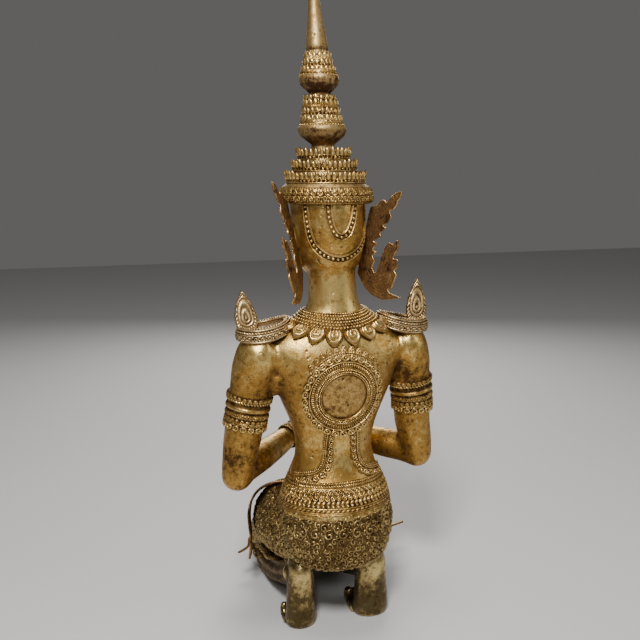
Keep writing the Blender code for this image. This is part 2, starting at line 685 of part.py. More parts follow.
def build_clearance(figure):
    """The figure swollen by the casting gap, which trims the pieces that are fixed to it."""
    clearance = bpy.data.objects.new("clearance", figure.data.copy())
    bpy.context.scene.collection.objects.link(clearance)
    swell = clearance.modifiers.new("swell", "DISPLACE")
    swell.strength = CASTING_GAP
    swell.mid_level = 0
    return settled(clearance, "clearance")


def seated(item, cutter):
    """Cuts a piece back from the swollen figure, so that it seats on it with a small gap."""
    seat = item.modifiers.new("seat", "BOOLEAN")
    seat.operation = "DIFFERENCE"
    seat.object = cutter
    seat.use_self = True
    made = settled(item, item.name)
    tidy_edges(made)
    return made


def united(item, others):
    """The union of an object with the others, which go."""
    for number, other in enumerate(others):
        join = item.modifiers.new(f"join {number}", "BOOLEAN")
        join.operation = "UNION"
        join.object = other
    made = settled(item, item.name)
    for other in others:
        bpy.data.objects.remove(other)
    return made


def plate(outline, place, thickness):
    """Points and faces of a flat plate: place turns an outline pair and a depth into a point."""
    front = [place(u, v, thickness / 2) for u, v in outline]
    back = [place(u, v, -thickness / 2) for u, v in outline]
    n = len(outline)
    faces = [tuple(range(n)), tuple(reversed(range(n, 2 * n)))]
    faces += [(k, n + k, n + (k + 1) % n, (k + 1) % n) for k in range(n)]
    return np.array(front + back), faces


def build_ear_plate(side, gilt):
    """The cut sheet that flares out and back beside the ear, with a flame above and a hooked curl below."""
    start = np.array([*EAR_PLANE_START, 0.0])
    heading = np.array([*EAR_PLANE_HEADING[side], 0.0])
    heading /= np.linalg.norm(heading)
    through = np.array([heading[1], -heading[0], 0.0])

    def place(reach, height, depth):
        spot = start + heading * reach + through * depth
        spot[0] = side * (spot[0] + EAR_TILT[side] * (height - EAR_FOOT))
        spot[2] = EAR_FOOT + (height - EAR_FOOT) * EAR_STRETCH[side]
        return spot

    points, faces = plate(EAR_OUTLINE, place, EAR_PLATE_THICKNESS / SHARE)
    name = "ear_flame_left" if side > 0 else "ear_flame_right"
    made = solid(name, [(lean(points), faces)])
    made.data.materials.append(gilt)
    return made


def build_shoulder_ornament(side, gilt):
    """An oval plate over the shoulder, with a rim that hangs round it and a flame standing at its outer end."""
    turns = np.linspace(0, 2 * math.pi, SHOULDER_SIDES, endpoint=False)
    top = SHOULDER_PLATE_THICKNESS / SHARE / 2
    drop = SHOULDER_RIM_DROP / SHARE
    wall = 3.2
    levels = [(1.0, -drop), (1.03, -drop / 2), (1.0, top + 1.2), (0.86, top + 1.6), (0.8, top)]
    underside = [(0.8, -top), (1 - wall / SHOULDER_HALF_SIZE[0], -drop)]
    rings = []
    for share, rise in [*reversed(levels), *reversed(underside)]:
        x = SHOULDER_HALF_SIZE[0] * share * np.cos(turns)
        y = SHOULDER_HALF_SIZE[1] * share * np.sin(turns)
        z = rise + SHOULDER_SLOPE * x + SHOULDER_SHEER * (x / SHOULDER_HALF_SIZE[0]) ** 2
        rings.append(np.stack([x, y, z], 1) + SHOULDER_CENTRE)
    count = len(rings)
    middle = np.array(SHOULDER_CENTRE)
    points, faces = skin_rings(
        np.array([*rings[:5], rings[6], rings[5]]), middle + (0, 0, top), middle + (0, 0, -top)
    )
    assert count == len(levels) + len(underside)
    foot = np.array(FINIAL_FOOT)

    def place(across, up, depth):
        up *= FINIAL_STRETCH[side]
        return foot + (across + 0.1 * up, depth - 0.23 * up, up)

    left_edge = [(-across, up) for across, up in FINIAL_EDGE]
    outline = [*left_edge, (0, FINIAL_TIP), *reversed(FINIAL_EDGE)]
    flame = plate(outline, place, FINIAL_THICKNESS / SHARE)
    name = "shoulder_ornament_left" if side > 0 else "shoulder_ornament_right"
    body = united(solid(name, [(points, faces)]), [solid(name + "_flame", [flame])])
    if side < 0:
        body.data.transform(mathutils.Matrix.Diagonal((-1, 1, 1, 1)))
        body.data.flip_normals()
    body.data.materials.clear()
    body.data.materials.append(gilt)
    return body


def sheet(rows, thickness):
    """A bent sheet of even thickness through rows of back x, back y, height, front x, front y.

    It falls away towards its front edge.
    """
    line = spline(rows, 2 * len(rows))
    middle = np.stack([(line[:, 0] + line[:, 3]) / 2, line[:, 2]], 1)
    along = np.gradient(middle, axis=0)
    along /= np.linalg.norm(along, axis=1)[:, None]
    out = np.stack([-along[:, 1], along[:, 0]], 1) * thickness / 2
    rings = []
    for (back_x, back_y, z, front_x, front_y), (nx, nz) in zip(line, out):
        back = np.array([back_x, back_y, z])
        front = np.array([front_x, front_y, z - HIP_TAIL_FALL * (back_y - front_y)])
        lift = np.array([nx, 0, nz])
        rings.append([front + lift, back + lift, back - lift, front - lift])
    rings = np.array(rings, float)
    return skin_rings(rings, rings[0].mean(0), rings[-1].mean(0))


def build_hip_tail(side, gilt):
    """The stiff sash end that springs from the hip, arches over the thigh and hangs in two curled points."""
    thickness = HIP_TAIL_THICKNESS / SHARE
    parts = [sheet(HIP_TAIL, thickness)]
    parts += [sheet(rows, thickness * 1.04) for rows in (HIP_TAIL_FRONT_POINT, HIP_TAIL_BACK_POINT[side])]
    if side < 0:
        parts = [mirrored(part) for part in parts]
    name = "hip_tail_left" if side > 0 else "hip_tail_right"
    points = [solid(f"{name}_point_{number}", [part]) for number, part in enumerate(parts[1:])]
    tail = united(solid(name, parts[:1]), points)
    tail.data.materials.clear()
    tail.data.materials.append(gilt)
    return tail


def centre_over_base(items):
    """Parents every piece to one empty, placed so that the whole stands centred on the origin."""
    bpy.context.view_layer.update()
    graph = bpy.context.evaluated_depsgraph_get()
    corners = []
    for item in items:
        mesh = item.evaluated_get(graph).to_mesh()
        spots = np.empty(len(mesh.vertices) * 3, np.float32)
        mesh.vertices.foreach_get("co", spots)
        corners.append(spots.reshape(-1, 3))
        item.evaluated_get(graph).to_mesh_clear()
    spots = np.vstack(corners)
    low, high = spots.min(0), spots.max(0)
    root = bpy.data.objects.new("statue", None)
    bpy.context.scene.collection.objects.link(root)
    root.location = (-(low[0] + high[0]) / 2, -(low[1] + high[1]) / 2, -low[2])
    for item in bpy.data.objects:
        if item is not root:
            item.parent = root


def main():
    """Builds every piece of the statue."""
    clear_scene()
    gilt = finish_material("gilt_bronze", GOLD, 0.38)
    worn = finish_material("worn_gilt", DARK_GOLD, 0.45)
    figure = build_figure(gilt)
    crown = build_crown(gilt)
    clearance = build_clearance(figure)
    items = [figure, crown]
    for side in (1, -1):
        for made in (build_ear_plate(side, worn), build_shoulder_ornament(side, gilt), build_hip_tail(side, worn)):
            items.append(seated(made, clearance))
    bpy.data.objects.remove(clearance)
    centre_over_base(items)


main()
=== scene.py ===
"""The looks of a kneeling temple angel in gilt bronze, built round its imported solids.

Shapes are worked out in millimetres in the sculptor's own axes: the torso's axis at
x = y = 0, the figure facing -Y, its left side at +X and the ground at z = 0.7.
"""

from __future__ import annotations

import logging
import math
from collections.abc import Callable, Sequence
from dataclasses import dataclass
from enum import Enum

import bmesh
import bpy
import numpy as np
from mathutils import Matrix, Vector


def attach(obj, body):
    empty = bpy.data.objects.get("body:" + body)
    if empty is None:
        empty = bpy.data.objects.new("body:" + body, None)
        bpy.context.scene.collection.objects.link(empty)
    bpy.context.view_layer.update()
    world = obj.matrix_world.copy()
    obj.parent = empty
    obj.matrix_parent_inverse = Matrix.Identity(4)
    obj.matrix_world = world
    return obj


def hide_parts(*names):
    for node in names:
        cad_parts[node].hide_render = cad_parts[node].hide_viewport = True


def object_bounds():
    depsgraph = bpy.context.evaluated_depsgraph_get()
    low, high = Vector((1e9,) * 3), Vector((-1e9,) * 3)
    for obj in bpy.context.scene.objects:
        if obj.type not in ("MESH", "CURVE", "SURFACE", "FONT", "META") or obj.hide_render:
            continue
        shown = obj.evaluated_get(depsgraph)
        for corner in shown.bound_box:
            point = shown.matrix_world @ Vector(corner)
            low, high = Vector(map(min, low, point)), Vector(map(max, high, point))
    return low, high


Array = np.ndarray
Colour = tuple[float, float, float]
Station = tuple[float, ...]

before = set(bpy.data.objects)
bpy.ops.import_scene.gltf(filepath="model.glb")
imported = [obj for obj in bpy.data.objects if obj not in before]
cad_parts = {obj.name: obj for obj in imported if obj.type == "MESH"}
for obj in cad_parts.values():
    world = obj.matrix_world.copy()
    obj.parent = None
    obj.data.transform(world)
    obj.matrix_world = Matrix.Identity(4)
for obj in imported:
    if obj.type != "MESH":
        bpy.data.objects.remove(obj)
CAD_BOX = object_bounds()
BODY = "root"
MM = 0.001
BASE_SHIFT = np.array([-1.72, 49.0, -0.7])
LEAN_START = 300.0
LEAN_SLOPE = 0.0644
RELIEF = "relief"
FLAT_RELIEF = 0.6
GROUND_RELIEF = 0.34
HEIGHT_RELIEF = 0.28
EDGE_RELIEF = 1.15
BURIED_RELIEF = 0.05
RIM_START = 0.45
RIM_WIDTH = 0.5
EDGE_PASSES = 14
BEND_ROUNDS = 5
KEPT_SHARE = 0.5
TWO_PI = 2 * math.pi

logging.basicConfig(level=logging.INFO, format="%(message)s")
LOG = logging.getLogger("angel")


def spline(stations: Sequence[Station], count: int) -> Array:
    """Resamples rows of numbers along a smooth curve through them.

    Catmull-Rom: p(t) = (2b + (c - a)t + (2a - 5b + 4c - d)t^2 + (3b - a - 3c + d)t^3) / 2.

    Args:
        stations: the rows that the curve passes through.
        count: how many rows come back.

    Returns:
        The resampled rows.
    """
    points = np.array(stations, float)
    padded = np.vstack([2 * points[0] - points[1], points, 2 * points[-1] - points[-2]])
    at = np.linspace(0, len(points) - 1, count)
    span = np.minimum(at.astype(int), len(points) - 2)
    t = (at - span)[:, None]
    a, b, c, d = (padded[span + k] for k in range(4))
    return 0.5 * (2 * b + (c - a) * t + (2 * a - 5 * b + 4 * c - d) * t**2 + (3 * b - a - 3 * c + d) * t**3)


def lean(points: Array) -> Array:
    """Shifts points above the neck to the figure's left: x grows by slope * (z - start)."""
    moved = points.copy()
    moved[..., 0] += LEAN_SLOPE * np.maximum(points[..., 2] - LEAN_START, 0)
    return moved


def unit(vectors: Array) -> Array:
    """The vectors at length one."""
    return vectors / np.maximum(np.linalg.norm(vectors, axis=-1, keepdims=True), 1e-9)


def arch(distance: Array, half: float) -> Array:
    """A round arch: sqrt(1 - (distance / half)^2), and 0 beyond half."""
    return np.sqrt(np.clip(1 - (distance / half) ** 2, 0, 1))


def cell(s: Array, pitch: float) -> Array:
    """The distance from the middle of the nearest of evenly spaced cells."""
    return s - pitch * np.round(s / pitch)


def even_pitch(length: float, wanted: float) -> float:
    """The pitch nearest to the wanted one that divides a length evenly."""
    return length / max(1, round(length / wanted))


def run_along(points: Array) -> Array:
    """The distance along a line of points, from 0 at its first."""
    steps = np.linalg.norm(np.diff(points, axis=0), axis=1)
    return np.concatenate([[0.0], np.cumsum(steps)])


def softened(field: Array, passes: int) -> Array:
    """A grid of heights averaged with its four neighbours, again and again."""
    for _ in range(passes):
        wide = np.pad(field, 1, mode="edge")
        field = (wide[:-2, 1:-1] + wide[2:, 1:-1] + wide[1:-1, :-2] + wide[1:-1, 2:] + 2 * field) / 6
    return field


class Surface:
    """A skin that turns two distances in millimetres into points."""

    outward = 1.0

    def skin(self, a: Array, b: Array) -> Array:
        """Points on the skin at distances a round it and b along it."""
        raise NotImplementedError

    def frame(self, a: Array, b: Array) -> tuple[Array, Array, Array, Array]:
        """Points with their unit directions along a, along b and outwards.

        The outward one is the cross product of the skin's two finite differences.

        Args:
            a: distances round the skin.
            b: distances along it.

        Returns:
            Points, directions along a, along b and outwards.
        """
        step = 0.3
        a, b = np.broadcast_arrays(np.asarray(a, float), np.asarray(b, float))
        right = unit(self.skin(a + step, b) - self.skin(a - step, b))
        up = unit(self.skin(a, b + step) - self.skin(a, b - step))
        return self.skin(a, b), right, up, unit(np.cross(right, up)) * self.outward

    def point(self, a: Array, b: Array, lift: Array) -> Array:
        """Points at a height over the skin."""
        spot, _, _, out = self.frame(a, b)
        return spot + np.asarray(lift, float)[..., None] * out


class OvalStack(Surface):
    """A stack of level ovals: a is the distance round from a centre line, b the height."""

    def __init__(self, sections: Sequence[Station], side: int = 1, girth: float = 0.0) -> None:
        """Takes sections of height, half width, half depth and centre y.

        Args:
            sections: the ovals, from the bottom up.
            side: 1 where the centre line is the back's, -1 where it is the front's.
            girth: where given, a runs over this length for a whole turn at every height.
        """
        self.rows = spline(sections, 160)
        self.side = side
        self.girth = girth
        self.outward = -float(side)

    def skin(self, a: Array, b: Array) -> Array:
        """x = w sin(turn), y = middle + side d cos(turn), the turn read off the oval's own length."""
        shape = a.shape
        a, b = a.ravel(), b.ravel()
        wide, deep, middle = (np.interp(b, self.rows[:, 0], self.rows[:, k]) for k in (1, 2, 3))
        turns = np.linspace(0, math.pi, 61)
        x, y = wide[:, None] * np.sin(turns), deep[:, None] * np.cos(turns)
        run = np.cumsum(np.hypot(np.diff(x, axis=1), np.diff(y, axis=1)), axis=1)
        run = np.concatenate([np.zeros((len(run), 1)), run], axis=1)
        target = np.abs(a) * (2 * run[:, -1] / self.girth if self.girth else 1.0)
        low = np.clip((run <= target[:, None]).sum(1) - 1, 0, len(turns) - 2)[:, None]
        first, last = np.take_along_axis(run, low, 1)[:, 0], np.take_along_axis(run, low + 1, 1)[:, 0]
        turn = turns[low[:, 0]] + (target - first) / (last - first) * turns[1]
        turn = np.copysign(turn, a)
        spots = np.stack([wide * np.sin(turn), middle + self.side * deep * np.cos(turn), b], 1)
        return lean(spots).reshape(*shape, 3)


class LimbSkin(Surface):
    """A tube of ovals along a smooth path: a is the distance round it, b the distance along it."""

    def __init__(self, stations: Sequence[Station], across: Station, girth: float) -> None:
        """Takes stations of x, y, z, half width, half depth; half widths lie along across."""
        self.rows = spline(stations, 120)
        self.girth = girth
        centre = self.rows[:, :3]
        along = unit(np.gradient(centre, axis=0))
        across = np.array(across, float)
        side = unit(across - (along @ across)[:, None] * along)
        self.table = np.hstack([self.rows, side, np.cross(along, side)])
        self.run = run_along(centre)

    def at(self, share: float) -> float:
        """The distance along the limb at a share of its stations' curve."""
        return float(np.interp(share * (len(self.run) - 1), np.arange(len(self.run)), self.run))

    def skin(self, a: Array, b: Array) -> Array:
        """centre + w cos(turn) side + d sin(turn) deep."""
        got = np.stack([np.interp(b, self.run, column) for column in self.table.T], -1)
        turn = (TWO_PI * a / self.girth)[..., None]
        centre, half_width, half_depth = got[..., :3], got[..., 3:4], got[..., 4:5]
        side, deep = got[..., 5:8], got[..., 8:11]
        return centre + half_width * np.cos(turn) * side + half_depth * np.sin(turn) * deep


class Turned(Surface):
    """A form turned on an upright axis: a is the distance round, b the distance along the profile."""

    def __init__(self, profile: Sequence[Station], centre_y: float, girth: float) -> None:
        """Takes a profile of height and radius, from the bottom up."""
        self.rows = np.array(profile, float)
        self.centre_y = centre_y
        self.girth = girth
        self.run = run_along(self.rows)

    def at(self, height: float) -> float:
        """The distance along the profile where it reaches a height."""
        return float(np.interp(height, self.rows[:, 0], self.run))

    def radius(self, height: float) -> float:
        """The radius at a height."""
        return float(np.interp(height, self.rows[:, 0], self.rows[:, 1]))

    def skin(self, a: Array, b: Array) -> Array:
        """x = r cos(turn), y = middle + r sin(turn)."""
        z, radius = (np.interp(b, self.run, self.rows[:, k]) for k in (0, 1))
        turn = TWO_PI * a / self.girth
        return lean(np.stack([radius * np.cos(turn), self.centre_y + radius * np.sin(turn), z], -1))


class Course(Enum):
    """The kinds of ornament that run along a band."""

    RAIL = "rail"
    ROPE = "rope"
    BEADS = "beads"
    SCROLLS = "scrolls"
    LEAVES = "leaves"
    RIBS = "ribs"
    DOTS = "dots"
    DROPS = "drops"
    RINGS = "rings"


@dataclass(frozen=True)
class Row:
    """One course of ornament: where its middle lies across the band, its half width and height."""

    course: Course
    at: float
    half: float
    height: float
    pitch: float = 1.0
    hand: float = 1.0
    shift: float = 0.0

    def lift(self, s: Array, t: Array) -> Array:
        """The course's height over the band's ground at distances s along and t across.

        A rail is a round arch across; a rope is an arch cut by slanting waves; beads are half
        balls; scrolls are ridges where cos(2 pi r / p - angle) is high round each cell's middle;
        leaves are points whose width falls with the distance out, ridged along their outline;
        ribs are arches cut by waves along; dots are half balls that stand apart; drops are
        slanting ovals; rings are round ridges with a dot in the middle.

        Args:
            s: distances along the band.
            t: distances across it.

        Returns:
            Heights in millimetres.
        """
        v = t - self.at
        u = cell(s + self.shift * self.pitch, self.pitch)
        if self.course is Course.RAIL:
            return self.height * arch(v, self.half) + 0 * s
        if self.course is Course.ROPE:
            wave = np.cos(TWO_PI * (s / self.pitch + 0.35 * self.hand * v / self.half))
            return self.height * arch(v, self.half) * (0.66 + 0.34 * wave)
        if self.course is Course.BEADS:
            return self.height * arch(np.hypot(u * 2 * self.half / self.pitch, v), self.half)
        if self.course is Course.SCROLLS:
            reach = np.hypot(u, v)
            phase = TWO_PI * reach / (0.6 * self.half) - self.hand * np.arctan2(v, u)
            curl = (0.5 + 0.5 * np.cos(phase)) * np.clip(1.25 - (reach / self.half) ** 4, 0, 1)
            corner = np.hypot(cell(s + self.pitch / 2, self.pitch), np.abs(v) - 0.62 * self.half)
            return self.height * np.maximum(curl, 0.9 * arch(corner, 0.3 * self.half))
        if self.course is Course.LEAVES:
            out = np.clip((v * self.hand + self.half) / (2 * self.half), 0, 1)
            inside = (1 - out**1.8) ** 0.7 - np.abs(u) / (0.5 * self.pitch)
            ridge = 0.62 + 0.38 * np.cos(TWO_PI * inside / 0.42)
            return self.height * np.clip(inside / 0.12, 0, 1) * ridge * (np.abs(v) < self.half)
        if self.course is Course.DOTS:
            return self.height * arch(np.hypot(u, v), self.half)
        if self.course is Course.RINGS:
            reach = np.hypot(u, v) / self.half
            return self.height * np.maximum(arch(reach - 0.74, 0.3), 0.9 * arch(reach, 0.32))
        if self.course is Course.DROPS:
            slant = u + 0.5 * self.hand * v
            return self.height * arch(np.hypot(slant * self.half / (0.42 * self.pitch), v), self.half)
        wave = np.cos(TWO_PI * s / self.pitch)
        return self.height * arch(v, self.half) ** 0.5 * (0.5 + 0.5 * wave)


@dataclass(frozen=True)
class Band:
    """A raised band: its two edges across, the height of its ground and its courses of ornament."""

    low: float
    high: float
    ground: float
    rows: tuple[Row, ...] = ()
    scallop: float = 0.0
    scallop_pitch: float = 1.0
    sink: float = 1.6


@dataclass(frozen=True)
class Template:
    """A small closed shape that is copied many times."""

    points: Array
    relief: Array
    quads: Array
    tris: Array


def grid_faces(rows: int, columns: int, closed: bool = False) -> Array:
    """Quads over rings of points numbered ring by ring, the last ring joined to the first where closed."""
    i = np.arange(rows if closed else rows - 1)[:, None]
    j = np.arange(columns)[None]
    below, after = (i + 1) % rows, (j + 1) % columns
    faces = [i * columns + j, i * columns + after, below * columns + after, below * columns + j]
    return np.stack(np.broadcast_arrays(*faces), -1).reshape(-1, 4)


def fans(rows: int, sides: int) -> Array:
    """Triangles that close a tube of rings on two tips, which are numbered after the rings."""
    k = np.arange(sides)
    after = (k + 1) % sides
    tip, last = rows * sides, (rows - 1) * sides
    return np.vstack([
        np.stack([after, k, np.full(sides, tip)], 1),
        np.stack([last + k, last + after, np.full(sides, tip + 1)], 1),
    ])


def tube_template(path: Array, half: Array, height: Array, relief: Array) -> Template:
    """A ridge of three-cornered section along a flat path, closed at both ends."""
    foot = np.full_like(half, -0.35)
    heading = unit(np.gradient(path, axis=0))
    side = np.stack([-heading[:, 1], heading[:, 0]], 1)
    flat = np.stack([path - side * half[:, None], path, path + side * half[:, None]], 1)
    rise = np.stack([foot, height, foot], 1)
    points = np.concatenate([flat, rise[..., None]], 2).reshape(-1, 3)
    shade = np.stack([0.15 * relief, relief, 0.15 * relief], 1).ravel()
    count = len(path)
    tris = np.array([[0, 1, 2], [3 * count - 3, 3 * count - 1, 3 * count - 2]])
    return Template(points, shade, grid_faces(count, 3), tris)


def curl_template(turns: float = 1.35, steps: int = 14) -> Template:
    """A flame curl one unit across: r = 0.22 + 1.25 (1 - q)^1.6 while its angle grows with q."""
    q = np.linspace(0, 1, steps)
    reach = 0.22 + 1.25 * (1 - q) ** 1.6
    angle = TWO_PI * turns * q + 0.9
    path = np.stack([reach * np.cos(angle), reach * np.sin(angle)], 1)
    half = 0.09 + 0.29 * np.sin(math.pi * np.clip(0.15 + 0.85 * q, 0, 1)) ** 0.7 + 0.1 * q
    height = 0.16 + 0.38 * np.sin(math.pi * np.clip(0.1 + 0.8 * q, 0, 1)) + 0.12 * q
    return tube_template(path, half, height, 0.55 + 0.45 * np.sin(math.pi * q) ** 0.5)


def stroke_template() -> Template:
    """A short bent comma, thick at its head."""
    q = np.linspace(0, 1, 6)
    path = np.stack([0.35 * np.sin(2.2 * q), 1 - 2 * q], 1)
    half = 0.12 + 0.32 * np.sin(math.pi * (0.2 + 0.72 * q))
    return tube_template(path, half, 0.12 + 0.46 * np.sin(math.pi * (0.15 + 0.75 * q)), 0.5 + 0.5 * q)


def bead_template(sides: int = 7) -> Template:
    """A ball of radius one with two rings of points."""
    turn = np.linspace(0, TWO_PI, sides, endpoint=False)
    reach, rise = math.cos(0.6), math.sin(0.6)
    ring = np.stack([reach * np.cos(turn), reach * np.sin(turn), np.full(sides, rise)], 1)
    points = np.vstack([ring * (1, 1, -1), ring, [[0, 0, -1], [0, 0, 1]]])
    shade = 0.25 + 0.75 * np.clip(points[:, 2], 0, 1)
    return Template(points, shade, grid_faces(2, sides), fans(2, sides))


def leaf_template(rows: int, columns: int, ridges: float, dome: float) -> Template:
    """A pointed leaf from y = 0 to 1, half a unit wide each way, with ridges along its outline.

    Half width w(v) = 0.5 (1 - v^2.2)^0.75 (0.72 + 1.1 v (1 - v)); height rises to the rim's ridge.

    Args:
        rows: points along the leaf.
        columns: points across it.
        ridges: how many ridges lie inside one another.
        dome: the leaf's height at its middle.

    Returns:
        The closed leaf.
    """
    v = np.linspace(0, 1, rows)[:, None]
    u = np.linspace(-1, 1, columns)[None]
    wide = 0.5 * (1 - v**2.2) ** 0.75 * (0.72 + 1.1 * v * (1 - v)) + 0.004
    inside = np.minimum((1 - np.abs(u)) * wide / 0.5, 1 - v + 0 * u)
    ridge = 0.5 + 0.5 * np.cos(TWO_PI * inside * ridges) if ridges else np.ones_like(inside)
    z = dome * (np.clip(inside / 0.16, 0, 1) * (0.55 + 0.45 * ridge) + 0.5 * inside)
    points = np.stack(np.broadcast_arrays(u * wide, v, z), -1)
    back = points[:, ::-1].copy()
    back[..., 2] = -0.12
    whole = np.concatenate([points, back[:, [0, -1]]], 1)
    face = 0.15 + 0.85 * np.clip(inside / 0.1, 0, 1) * (0.35 + 0.65 * ridge)
    shade = np.concatenate([face, np.zeros((rows, 2))], 1)
    count = columns + 2
    closed = np.vstack([whole.reshape(-1, 3), [[0, 0, 0.0], [0, 1, 0.0]]])
    quads = grid_faces(rows, count)
    return Template(closed, np.append(shade.ravel(), [0.2, 0.6]), quads, fans(rows, count))


class Shell:
    """Collects closed surfaces in millimetres and casts them as one piece."""

    def __init__(self, name: str) -> None:
        """Starts an empty piece."""
        self.name = name
        self.points: list[Array] = []
        self.relief: list[Array] = []
        self.quads: list[Array] = []
        self.tris: list[Array] = []
        self.count = 0

    def add(self, points: Array, relief: Array, quads: Array, tris: Array) -> None:
        """Adds points with their relief, and faces numbered from this batch's first point."""
        self.points.append(points.reshape(-1, 3))
        self.relief.append(np.broadcast_to(relief, self.points[-1].shape[:1]).astype(float))
        self.quads.append(quads.reshape(-1, 4) + self.count)
        self.tris.append(tris.reshape(-1, 3) + self.count)
        self.count += len(self.points[-1])

    def tube(self, rings: Array, relief: Array | float, tips: Array | None = None) -> None:
        """Adds rings of points joined in order and closed by a tip at each end.

        Args:
            rings: rows of points, each row one closed ring.
            relief: one value, or one for each point.
            tips: the two end points; the end rings' middles where none is given.
        """
        rows, sides, _ = rings.shape
        if tips is None:
            tips = np.stack([rings[0].mean(0), rings[-1].mean(0)])
        shade = np.broadcast_to(np.asarray(relief, float), rings.shape[:2])
        shade = np.append(shade.ravel(), [shade[0].mean(), shade[-1].mean()])
        points = np.vstack([rings.reshape(-1, 3), tips])
        self.add(points, shade, grid_faces(rows, sides), fans(rows, sides))

    def limb(self, stations: Sequence[Station], across: Station, count: int = 24, sides: int = 20,
             bulge: float = 0.5, leaning: bool = False, mirrored: bool = False) -> None:
        """Adds a closed tube of ovals along a smooth path, and its mirror image where asked."""
        skin = LimbSkin(stations, across, TWO_PI)
        along = np.linspace(0, skin.run[-1], count)
        rings = skin.skin(*np.meshgrid(np.linspace(0, TWO_PI, sides, endpoint=False), along))
        middle = rings.mean(1)
        tips = np.stack([
            middle[0] + unit(middle[0] - middle[1]) * min(stations[0][3:5]) * bulge,
            middle[-1] + unit(middle[-1] - middle[-2]) * min(stations[-1][3:5]) * bulge,
        ])
        place = lean if leaning else np.copy
        for side in (1, -1) if mirrored else (1,):
            flip = np.array([side, 1, 1])
            self.tube(place(rings * flip), FLAT_RELIEF, place(tips * flip))

    def stack(self, sections: Sequence[Station], count: int, sides: int) -> None:
        """Adds a closed body of level ovals: height, half width, half depth, centre y."""
        rows = spline(sections, count)
        turn = np.linspace(0, TWO_PI, sides, endpoint=False)
        x = rows[:, 1, None] * np.cos(turn)
        y = rows[:, 3, None] + rows[:, 2, None] * np.sin(turn)
        rings = np.stack([x, y, np.broadcast_to(rows[:, :1], x.shape)], -1)
        self.tube(lean(rings), FLAT_RELIEF)

    def copies(self, shape: Template, spots: Array, right: Array, up: Array, out: Array, size: Array) -> None:
        """Adds copies of a template: spot + x right + y up + z out, each at its own size."""
        size = np.broadcast_to(np.asarray(size, float), (len(spots), 3))
        local = shape.points[None] * size[:, None]
        axes = enumerate((right, up, out))
        points = spots[:, None] + sum(local[..., k, None] * axis[:, None] for k, axis in axes)
        shift = (np.arange(len(spots)) * len(shape.points))[:, None, None]
        relief = np.tile(shape.relief, len(spots))
        self.add(points, relief, shape.quads[None] + shift, shape.tris[None] + shift)

    def ribbon(self, surface: Surface, path: Array, band: Band, columns: int, closed: bool = False,
               hand: float = 1.0, squeeze: float = 1.0, taper: bool = False) -> None:
        """Adds a raised band over a surface along a path of its two distances.

        Each point is surface(path + across * t * squeeze) lifted by the ground and the tallest course.

        Args:
            surface: what the band lies on.
            path: rows of distance round and along.
            band: its edges, ground and courses.
            columns: points across.
            closed: whether the path meets its own start.
            hand: which side of the path counts as across.
            squeeze: surface units for one millimetre across.
            taper: whether an open band narrows at its ends.
        """
        ahead, behind = (np.roll(path, -1, 0), np.roll(path, 1, 0)) if closed else (path, path)
        heading = unit(ahead - behind) if closed else unit(np.gradient(path, axis=0))
        if closed:
            heading[0], heading[-1] = unit(path[1] - path[0]), unit(path[-1] - path[-2])
        across = np.stack([-heading[:, 1], heading[:, 0]], 1) * hand
        s = run_along(path)[:, None]
        edge = band.high + band.scallop * arch(cell(s, band.scallop_pitch), band.scallop_pitch / 2)
        narrow = np.ones_like(s)
        if taper:
            narrow = np.clip(np.minimum(s, s[-1] - s) / band.high, 0.05, 1) ** 0.5
        t = (band.low + np.linspace(0, 1, columns)[None] * (edge - band.low)) * narrow
        rise = np.zeros_like(t)
        for row in band.rows:
            rise = np.maximum(rise, row.lift(s, t))
        near = np.minimum(t - t[:, :1], t[:, -1:] - t)
        lift = band.ground * (RIM_START + (1 - RIM_START) * np.clip(near / RIM_WIDTH, 0, 1)) + rise
        tallest = max([row.height for row in band.rows], default=1.0)
        edges = rise - softened(rise, EDGE_PASSES)
        shade = GROUND_RELIEF + (HEIGHT_RELIEF * rise + EDGE_RELIEF * edges) / tallest
        t = np.concatenate([t[:, :1], t, t[:, -1:]], 1)
        lift = np.pad(lift, ((0, 0), (1, 1)), constant_values=-band.sink)
        shade = np.pad(shade, ((0, 0), (1, 1)), constant_values=BURIED_RELIEF)
        a = path[:, :1] + across[:, :1] * t * squeeze
        b = path[:, 1:] + across[:, 1:] * t * squeeze
        rings = surface.point(a, b, lift)
        if closed:
            self.add(rings, shade.ravel(), grid_faces(*rings.shape[:2], closed=True), np.zeros((0, 3), int))
        else:
            self.tube(rings, shade)

    def cast(self) -> bpy.types.Object:
        """Makes the mesh object, in metres in the model's frame and kept inside the solids' box."""
        points = inside_box((np.vstack(self.points) + BASE_SHIFT) * MM)
        quads, tris = np.vstack(self.quads), np.vstack(self.tris)
        mesh = bpy.data.meshes.new(self.name)
        mesh.vertices.add(len(points))
        put_points(mesh, points)
        mesh.loops.add(quads.size + tris.size)
        mesh.loops.foreach_set("vertex_index", np.concatenate([quads.ravel(), tris.ravel()]).astype(np.int32))
        mesh.polygons.add(len(quads) + len(tris))
        starts = np.concatenate([np.arange(len(quads)) * 4, quads.size + np.arange(len(tris)) * 3])
        mesh.polygons.foreach_set("loop_start", starts.astype(np.int32))
        mesh.update(calc_edges=True)
        mesh.validate()
        set_relief(mesh, np.concatenate(self.relief))
        outward_faces(mesh)
        return linked(self.name, mesh)


def linked(name: str, mesh: bpy.types.Mesh) -> bpy.types.Object:
    """A new object on the scene's own collection, shaded smooth."""
    mesh.shade_smooth()
    made = bpy.data.objects.new(name, mesh)
    bpy.context.scene.collection.objects.link(made)
    return made


def outward_faces(mesh: bpy.types.Mesh) -> None:
    """Turns every face of closed shells outwards."""
    work = bmesh.new()
    work.from_mesh(mesh)
    bmesh.ops.recalc_face_normals(work, faces=work.faces)
    work.to_mesh(mesh)
    work.free()


